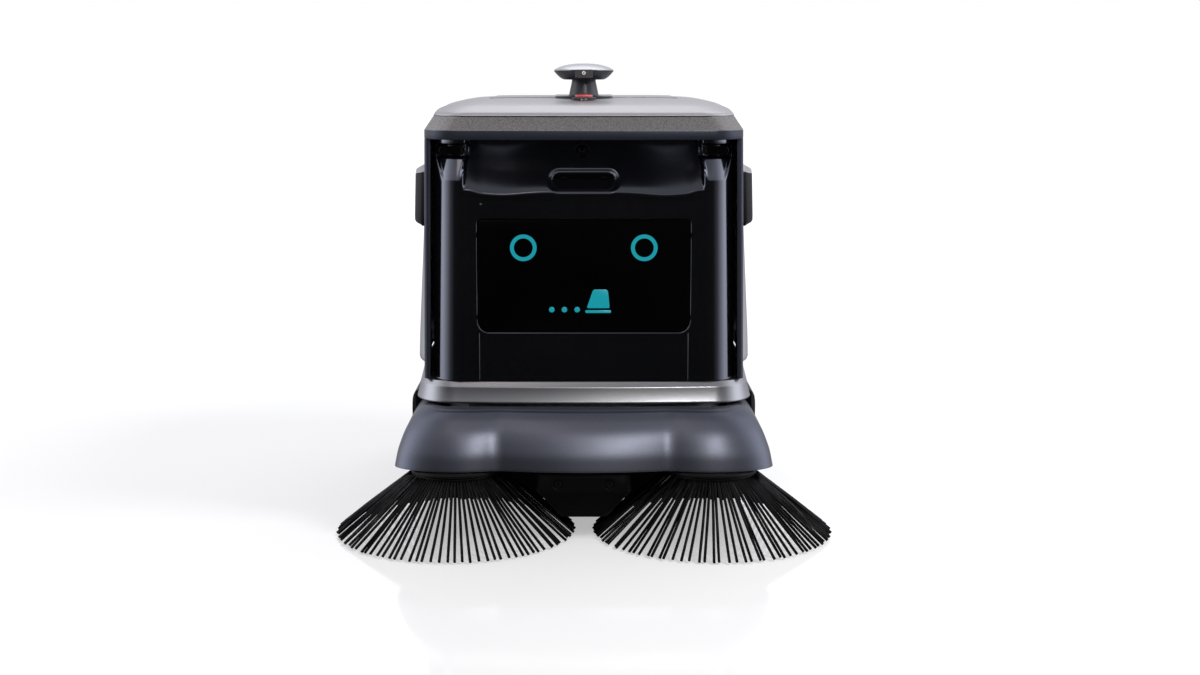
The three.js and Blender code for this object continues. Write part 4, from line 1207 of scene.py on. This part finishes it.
BRISTLE_BLOCK = [(56, 101.5), (68, 100.2), (74, 101.6), (76, 104), (75.6, 108.4),
                 (74.6, 109.2), (56, 109.3)]
BROOM_HUB = [(0, 103), (14, 103), (16, 104.4), (17, 107), (50, 108.6), (53, 109.6),
             (76, 109.8), (78, 110.8), (78, 114.2), (76.6, 115.8), (72, 116.6), (34, 116.9),
             (30, 118), (27, 124), (12, 131.6), (10, 133.2), (0, 133.4)]
for side, sign in SIDES:
    x, body = sign * BROOM_X, f"brush_{side}"
    add(f"bristle_tufts_{side}", broom_tufts(x), BRISTLE, body,
        replaces=f"brush_bristles_{side}", angle=50)
    add(f"bristle_block_{side}", lathe(BRISTLE_BLOCK, 92, x=x, y=BROOM_Y), BLACK, body)
    add(f"broom_hub_{side}", lathe(BROOM_HUB, 72, x=x, y=BROOM_Y), BLACK, body,
        replaces=f"brush_hub_{side}")

# ---------------------------------------------------------------- nose housing
NOSE_SCREWS_X, NOSE_SCREW_Z = (-44, 44), 92
# (half width, front, z, chamfer of the front corners, back)
NOSE_ROWS = [(37, -276, 34, 8, -214), (40, -279, 35.2, 9, -210), (42, -280.4, 37, 10, -206),
             (60, -282.2, 57, 11, -206), (79, -284, 76.5, 12, -206),
             (80.4, -284.4, 79, 12, -206), (80.4, -284.4, 108, 12, -206),
             (78, -283, 111.5, 12, -206)]


def nose_loop(width, front, z, chamfer, back):
    return [(-width, front + chamfer, z), (-width + chamfer * 0.3, front + chamfer * 0.3, z),
            (-width + chamfer, front, z), (width - chamfer, front, z),
            (width - chamfer * 0.3, front + chamfer * 0.3, z), (width, front + chamfer, z),
            (width, back, z), (-width, back, z)]


screw_holes = [rod(8.5, -300, -281.5, 24, x=x, z=NOSE_SCREW_Z, axis="y")
               for x in NOSE_SCREWS_X]
add("nose_housing", boolean(stack([nose_loop(*row) for row in NOSE_ROWS]), screw_holes),
    BLACK, replaces="front_nose", angle=28, bevel=1.2, segments=3)
add("nose_stay", box((-48, 48), (-226, -206), (111.6, 211.6)), BLACK, bevel=1.5)
NOSE_SCREW = [(2.2, -282.4), (2.2, -284.4), (4.6, -284.6), (5.6, -283.6), (5.6, -281.7),
              (0, -281.7), (0, -282.4)]
for i, x in enumerate(NOSE_SCREWS_X):
    add(f"nose_screw_{i + 1}", lathe(NOSE_SCREW, 36, x=x, z=NOSE_SCREW_Z, axis="y"), BLACK)

# ---------------------------------------------------------------- shelves and dust strip
# the front shelf closes the view down between hood and trim band
gap_shelf = round_poly([(-250, -150), (-250, -208), (-214, -237), (214, -237), (250, -208),
                        (250, -150)], 6, 5)
add("gap_shelf", prism(gap_shelf, "z", 207.5, 210.5), BLACK, bevel=0.8)
add("rear_shelf", prism(round_rect(-294, 294, 300, 434, 55, 10), "z", 210.5, 213.0), BLACK,
    bevel=0.8)


def dust_strip():
    """Rubber strip with upright ribs in its front face and a wavy hem."""
    sections = []
    for x in np.linspace(-290, 290, 233):
        rib_y = -32.2 + 0.35 * np.cos(x / 2.5 * math.pi)
        hem = 0.6 * math.sin(x * 0.11) * math.sin(x * 0.031)
        sections.append([(x, -32.4, 72), (x, -32.4, 60), (x, rib_y, 30),
                         (x, rib_y, 4.0 + hem), (x, -31, 3.2 + hem), (x, -29.6, 4.0 + hem),
                         (x, -29.6, 30), (x, -29.6, 60), (x, -29.6, 72)])
    return loft(sections)


add("dust_strip", dust_strip(), RUBBER, replaces="front_skirt", angle=40)
add("dust_strip_clamp", box((-286, 286), (-35.4, -32.7), (58, 71)), STEEL, bevel=0.7)

# ---------------------------------------------------------------- main roller
ROLLER_RADIUS = 49.3
ROLLER_AXIS = {"y": 40.0, "z": 52.0, "axis": "x"}


def roller_vane(start_angle):
    """Bristle vane that winds forward to the middle of the roller and back again."""
    sections = []
    for i in range(72):
        t = i / 71
        angle = start_angle + 0.95 * (1 - abs(2 * t - 1))
        out = np.array([0, math.cos(angle), math.sin(angle)])
        across = np.array([0, -math.sin(angle), math.cos(angle)])
        centre = np.array([lerp(-164, 164, t), ROLLER_AXIS["y"], ROLLER_AXIS["z"]])
        tip = ROLLER_RADIUS - 0.6 * abs(math.sin(i * 1.7))
        # (distance from the axis, offset across the vane)
        section = [(24, 4.4), (34, 3.4), (tip, 4.6), (tip + 0.1, 0), (tip, -4.6),
                   (34, -3.4), (24, -4.4)]
        sections.append([centre + out * reach + across * offset for reach, offset in section])
    return loft(sections)


core = lathe([(0, -168), (24, -168), (25.5, -166.5), (25.5, 166.5), (24, 168), (0, 168)], 48,
             **ROLLER_AXIS)
add("roller_brush", merge([core] + [roller_vane(i * math.pi / 4) for i in range(8)]),
    BRISTLE, "roller", replaces="main_roller", angle=40)
left_axle = lathe([(0, -182), (7.4, -182), (8, -181.4), (8, -168.4), (0, -168.4)], 32,
                  **ROLLER_AXIS)
right_axle = lathe([(0, 168.4), (8, 168.4), (8, 184.6), (20, 185), (20, 186), (18.6, 186.6),
                    (18.6, 193.4), (20, 194), (20, 195), (7, 195), (7, 196), (0, 196)], 48,
                   **ROLLER_AXIS)
add("roller_axle", merge([left_axle, right_axle]), STEEL, "roller")

# ---------------------------------------------------------------- drive wheels
WHEEL_X, WHEEL_Y, WHEEL_Z = 250.0, 62.0, 85
# profiles are (radius, place along the axle); the hub's and bolts' places point outwards
TREAD = [(66.2, -21.6), (74, -22), (80.5, -21.2), (83.6, -18.6), (84.9, -14), (84.9, -9),
         (84.9, -4.6), (84.9, 0), (84.9, 4.6), (84.9, 9), (84.9, 14), (83.6, 18.6),
         (80.5, 21.2), (74, 22), (66.2, 21.6)]
HUB = [(0, -36.4), (10, -36.4), (10, -28), (30, -27.4), (32, -25), (62, -23), (65.4, -21),
       (65.6, 18), (64, 21.6), (60, 22), (56, 16), (34, 14), (31, 22), (29, 28.4), (12, 29),
       (10, 27), (0, 27)]
BOLT = [(0, 14.2), (4.2, 14.2), (4.2, 18.4), (3.4, 19), (0, 19)]
BOLT_CIRCLE = 46


def tread(x):
    """Tyre with slanting cross grooves and one groove round its middle."""
    count, groove = 144, 2.6
    rings = []
    for i in range(count):
        angle = 2 * math.pi * i / count
        section = []
        for radius, along in TREAD:
            phase = (i + int(abs(along) * 0.28)) % 6
            if (phase < 2 and radius > 83) or (abs(along) < 1 and radius > 84):
                radius -= groove
            section.append((x + along, WHEEL_Y + radius * math.cos(angle),
                            WHEEL_Z + radius * math.sin(angle)))
        rings.append(section)
    return loft(rings, close=True)


def outwards(profile, sign):
    return [(radius, sign * along) for radius, along in profile]


def drive_wheel(side, sign):
    x, body = sign * WHEEL_X, f"wheel_{side}"
    add(f"tread_{side}", tread(x), TYRE, body, replaces=f"tyre_{side}", angle=30)
    add(f"wheel_hub_{side}",
        lathe(outwards(HUB, sign), 96, x=x, y=WHEEL_Y, z=WHEEL_Z, axis="x"), GREY, body,
        replaces=f"drive_wheel_{side}", angle=35)
    bolts = []
    for i in range(6):
        angle = i * math.pi / 3 + 0.3
        bolts.append(lathe(outwards(BOLT, sign), 12, x=x,
                           y=WHEEL_Y + BOLT_CIRCLE * math.cos(angle),
                           z=WHEEL_Z + BOLT_CIRCLE * math.sin(angle), axis="x"))
    add(f"hub_bolts_{side}", merge(bolts), STEEL, body)


# ---------------------------------------------------------------- casters
CASTER_X, CASTER_Y = 220.0, 350.0         # swivel
CASTER_AXLE = {"y": 375, "z": 38, "axis": "x"}
CASTER_TREAD = [(0, -14), (6, -14), (6, -11.4), (14, -11.2), (16, -9), (27, -8.6),
                (30, -10.6), (34.5, -10.8), (37.2, -8.6), (38, -4.5), (38, 4.5),
                (37.2, 8.6), (34.5, 10.8), (30, 10.6), (27, 8.6), (16, 9), (14, 11.2),
                (6, 11.4), (6, 14), (0, 14)]
SWIVEL = [(0, 92), (20, 92), (22, 93.4), (22, 97), (20.6, 98.4), (20.6, 99), (22, 99.6),
          (22, 102), (21, 102.8), (0, 102.8)]
CHEEK_IN, CHEEK_OUT = 14.6, 18.4          # faces of the fork cheeks, from its middle
AXLE_END = [(0, CHEEK_OUT), (6.2, CHEEK_OUT), (6.2, 20.4), (5.2, 21.6), (0, 21.6)]


def caster(side, sign):
    x = sign * CASTER_X
    add(f"caster_tread_{side}", lathe(CASTER_TREAD, 72, x=x, **CASTER_AXLE), TYRE,
        f"caster_roll_{side}", replaces=f"caster_wheel_{side}", angle=35)
    parts = [lathe(SWIVEL, 48, x=x, y=CASTER_Y)]
    cheek = round_poly([(340, 92), (391, 92), (384, 30), (366, 30)], [4, 5, 7, 7], 5)
    for hand in (-1, 1):
        faces_x = sorted((x + hand * CHEEK_IN, x + hand * CHEEK_OUT))
        parts.append(prism(cheek, "x", *faces_x))
        parts.append(lathe(outwards(AXLE_END, hand), 6, x=x, **CASTER_AXLE))
    plate = round_rect(x - CHEEK_OUT, x + CHEEK_OUT, 336, 391, 6, 5)
    parts.append(prism(plate, "z", 87, 91.8))
    add(f"caster_yoke_{side}", merge(parts), STEEL, f"caster_{side}",
        replaces=f"caster_fork_{side}", bevel=0.6)


for side, sign in SIDES:
    drive_wheel(side, sign)
    caster(side, sign)

# ---------------------------------------------------------------- rear fittings
add("charge_block", prism(round_rect(-55, 55, 285, 325, 6), "y", 421.6, 431.8), BLACK,
    replaces="charge_contacts", bevel=1.0, segments=3)
for i, x in enumerate((-27, 27)):
    add(f"charge_strip_{i + 1}",
        prism(round_rect(x - 13, x + 13, 293, 317, 3, 5), "y", 430, 433.9), BRASS,
        bevel=0.8, segments=3)
add("power_cap",
    lathe([(0, 386), (9.8, 386), (10.4, 386.6), (10.4, 405.2), (9.8, 406.2), (8.6, 406.5),
           (6.4, 406.1), (0, 405.8)], x=POWER_X, z=POWER_Z, axis="y"),
    CHROME, "power", replaces="power_button")
add("power_bezel",
    lathe([(11.2, 402.6), (14, 402.6), (14.2, 403.6), (13.4, 404.6), (11.6, 404.6),
           (11.2, 404)], x=POWER_X, z=POWER_Z, axis="y"), BLACK)
for i, x in enumerate((-150, 150)):
    add(f"rear_lamp_{i + 1}",
        prism(round_rect(x - 22, x + 22, 640, 650, 4.8, 8), "y", 392, 399.6), RED,
        bevel=1.0, segments=3)

# ---------------------------------------------------------------- CAD pieces that stay
KEPT = [
    (STEEL, ("chassis_frame", "inner_frame", "roller_motor", "motor_pulley",
             "brush_motor_left", "brush_motor_right", "wheel_bracket_left",
             "wheel_bracket_right")),
    (BATTERY, ("battery_pack",)),
    (GREY, ("control_box", "fan_impeller")),
    (BLACK, ("fan_housing",)),
    (SHELL, ("roller_housing",)),
    (RUBBER, ("drive_belt",))]
for material, names in KEPT:
    for name in names:
        obj = cad["nodes"][name]
        obj.data.materials.clear()
        obj.data.materials.append(material)
        obj.modifiers.new("weld", "WELD").merge_threshold = 0.00002
        bevel_edges(obj, 0.6)


# ---------------------------------------------------------------- floor
def pale_floor():
    """Pale floor that also glows to the camera, more so away from the origin."""
    made = Finish("pale_floor")
    patches = made.noise(scale=2.0, detail=2)
    seen = made.node("LightPath").outputs["Is Camera Ray"]
    position = made.node("NewGeometry").outputs["Position"]
    distance = made.node("VectorMath", {0: position}, operation="LENGTH").outputs["Value"]
    glow = made.remap(distance, 0.43, 0.74, 1.1, 3.6)
    made.set({"Base Color": made.mix(made.remap(patches, 0, 1), (0.84, 0.84, 0.85),
                                     (0.86, 0.86, 0.865)),
              "Roughness": 0.08, "Emission Color": (0.985, 0.985, 1.0),
              "Emission Strength": made.calc("MULTIPLY", seen, glow)})
    return made.material


floor_mesh = bpy.data.meshes.new("floor")
floor_mesh.from_pydata([(-30, -12, 0), (30, -12, 0), (30, 40, 0), (-30, 40, 0)], [],
                       [(0, 1, 2, 3)])
floor_mesh.materials.append(pale_floor())
floor_mesh.shade_smooth()
floor = link("floor", floor_mesh)
floor.visible_glossy = False


# ---------------------------------------------------------------- lights
def area(name, location, target, size, power, color=(1, 1, 1), glossy=True):
    lamp = bpy.data.lights.new(name, "AREA")
    lamp.shape = "RECTANGLE"
    lamp.size, lamp.size_y = size
    lamp.energy = power
    lamp.color = color
    obj = link(name, lamp)
    obj.location = location
    aim = Vector(target) - Vector(location)
    obj.rotation_euler = aim.to_track_quat("-Z", "Y").to_euler()
    obj.visible_glossy = glossy
    obj.visible_camera = False
    return obj


key = area("key_front", (0.99, -4.25, 2.38), target=(0, -0.3, 0.2), size=(0.7, 0.8),
           power=44, color=(1.0, 0.985, 0.95))
area("fill_warm", (-0.72, -2.15, 2.5), target=(0, -0.3, 0.25), size=(1.1, 0.7), power=3,
     color=(1.0, 0.86, 0.79))
area("shadow_right", (2.3, -0.9, 2.9), target=(0, 0.1, 0.3), size=(0.9, 0.9), power=45,
     glossy=False)
area("top_soft", (0.2, 1.2, 3.0), target=(0, 0, 0.6), size=(2.4, 1.8), power=15)

# the key light leaves out the glossy front pieces, the pods and the floor
UNLIT = ("fascia_cover", "display_glass", "depth_", "small_camera", "corner_window",
         "side_pod_shell", "floor")
receivers = bpy.data.collections.new("key_receivers")
for obj in bpy.context.scene.objects:
    if obj.type == "MESH" and not obj.name.startswith(UNLIT):
        receivers.objects.link(obj)
key.light_linking.receiver_collection = receivers

# ---------------------------------------------------------------- world
world = bpy.data.worlds.new("w")
bpy.context.scene.world = world
sky = Nodes(world)


def background(strength, color):
    return sky.node("Background", {"Strength": strength, "Color": color}).outputs[0]


def sky_curve(source, points):
    """Piecewise linear curve through (value, level) points, as a colour ramp."""
    low, high = points[0][0], points[-1][0]
    ramp = sky.node("ValToRGB")
    elements = ramp.color_ramp.elements
    elements[0].position, elements[1].position = 0, 1
    elements[0].color = (*[points[0][1]] * 3, 1)
    elements[1].color = (*[points[-1][1]] * 3, 1)
    for value, level in points[1:-1]:
        elements.new((value - low) / (high - low)).color = (level, level, level, 1)
    share = sky.calc("DIVIDE", sky.calc("SUBTRACT", source, low), high - low)
    sky.feed(ramp.inputs[0], share)
    return ramp.outputs[0]


def reflected_level():
    """Level seen in reflections: dark in front, bright broad sides, a grey ceiling."""
    direction = sky.node("TexCoord").outputs["Generated"]
    axes = sky.node("SeparateXYZ", {0: direction}).outputs
    turn = sky.calc("ABSOLUTE", sky.calc("ARCTAN2", axes["X"],
                                         sky.calc("MULTIPLY", axes["Y"], -1.0)))
    # angle from straight ahead (-Y) in radians
    around = sky_curve(turn, [(0.0, 0.006), (0.62, 0.012), (0.90, 0.12), (1.20, 0.55),
                              (1.45, 1.0), (1.75, 0.95), (2.1, 0.45), (2.6, 0.30),
                              (3.15, 0.27)])
    # z of the direction, for the sides and then the ceiling
    height = sky_curve(axes["Z"], [(-1.0, 0.10), (-0.6, 0.16), (-0.25, 0.5), (-0.05, 1.0),
                                   (0.35, 1.0), (0.6, 0.55), (1.0, 0.3)])
    ceiling = sky_curve(axes["Z"], [(-1.0, 0.04), (-0.75, 0.02), (-0.35, 0.0),
                                    (0.12, 0.004), (0.34, 0.22), (0.58, 0.50),
                                    (0.72, 0.28), (1.0, 0.34)])
    sides = sky.calc("MULTIPLY", sky.calc("MULTIPLY", around, height), 1.9)
    return sky.calc("ADD", sides, ceiling)


ray = sky.node("LightPath").outputs
unseen = sky.node("MixShader", {0: ray["Is Glossy Ray"], 1: background(0.42, (1, 1, 1)),
                                2: background(reflected_level(), (0.93, 0.94, 1.0))})
seen = sky.node("MixShader", {0: ray["Is Camera Ray"], 1: unseen.outputs[0],
                              2: background(1.0, (1, 1, 1))})
sky.node("OutputWorld", {0: seen.outputs[0]})

# ---------------------------------------------------------------- camera
lens = bpy.data.cameras.new("camera")
lens.lens, lens.sensor_width, lens.shift_x = 50, 36, 0.0135
lens.clip_start, lens.clip_end = 0.05, 60
camera = link("camera", lens)
camera.location = (0, -3.035, 0.7806)
camera.rotation_euler = (math.radians(81), 0, 0)
bpy.context.scene.camera = camera
bpy.context.scene.view_settings.view_transform = "Standard"
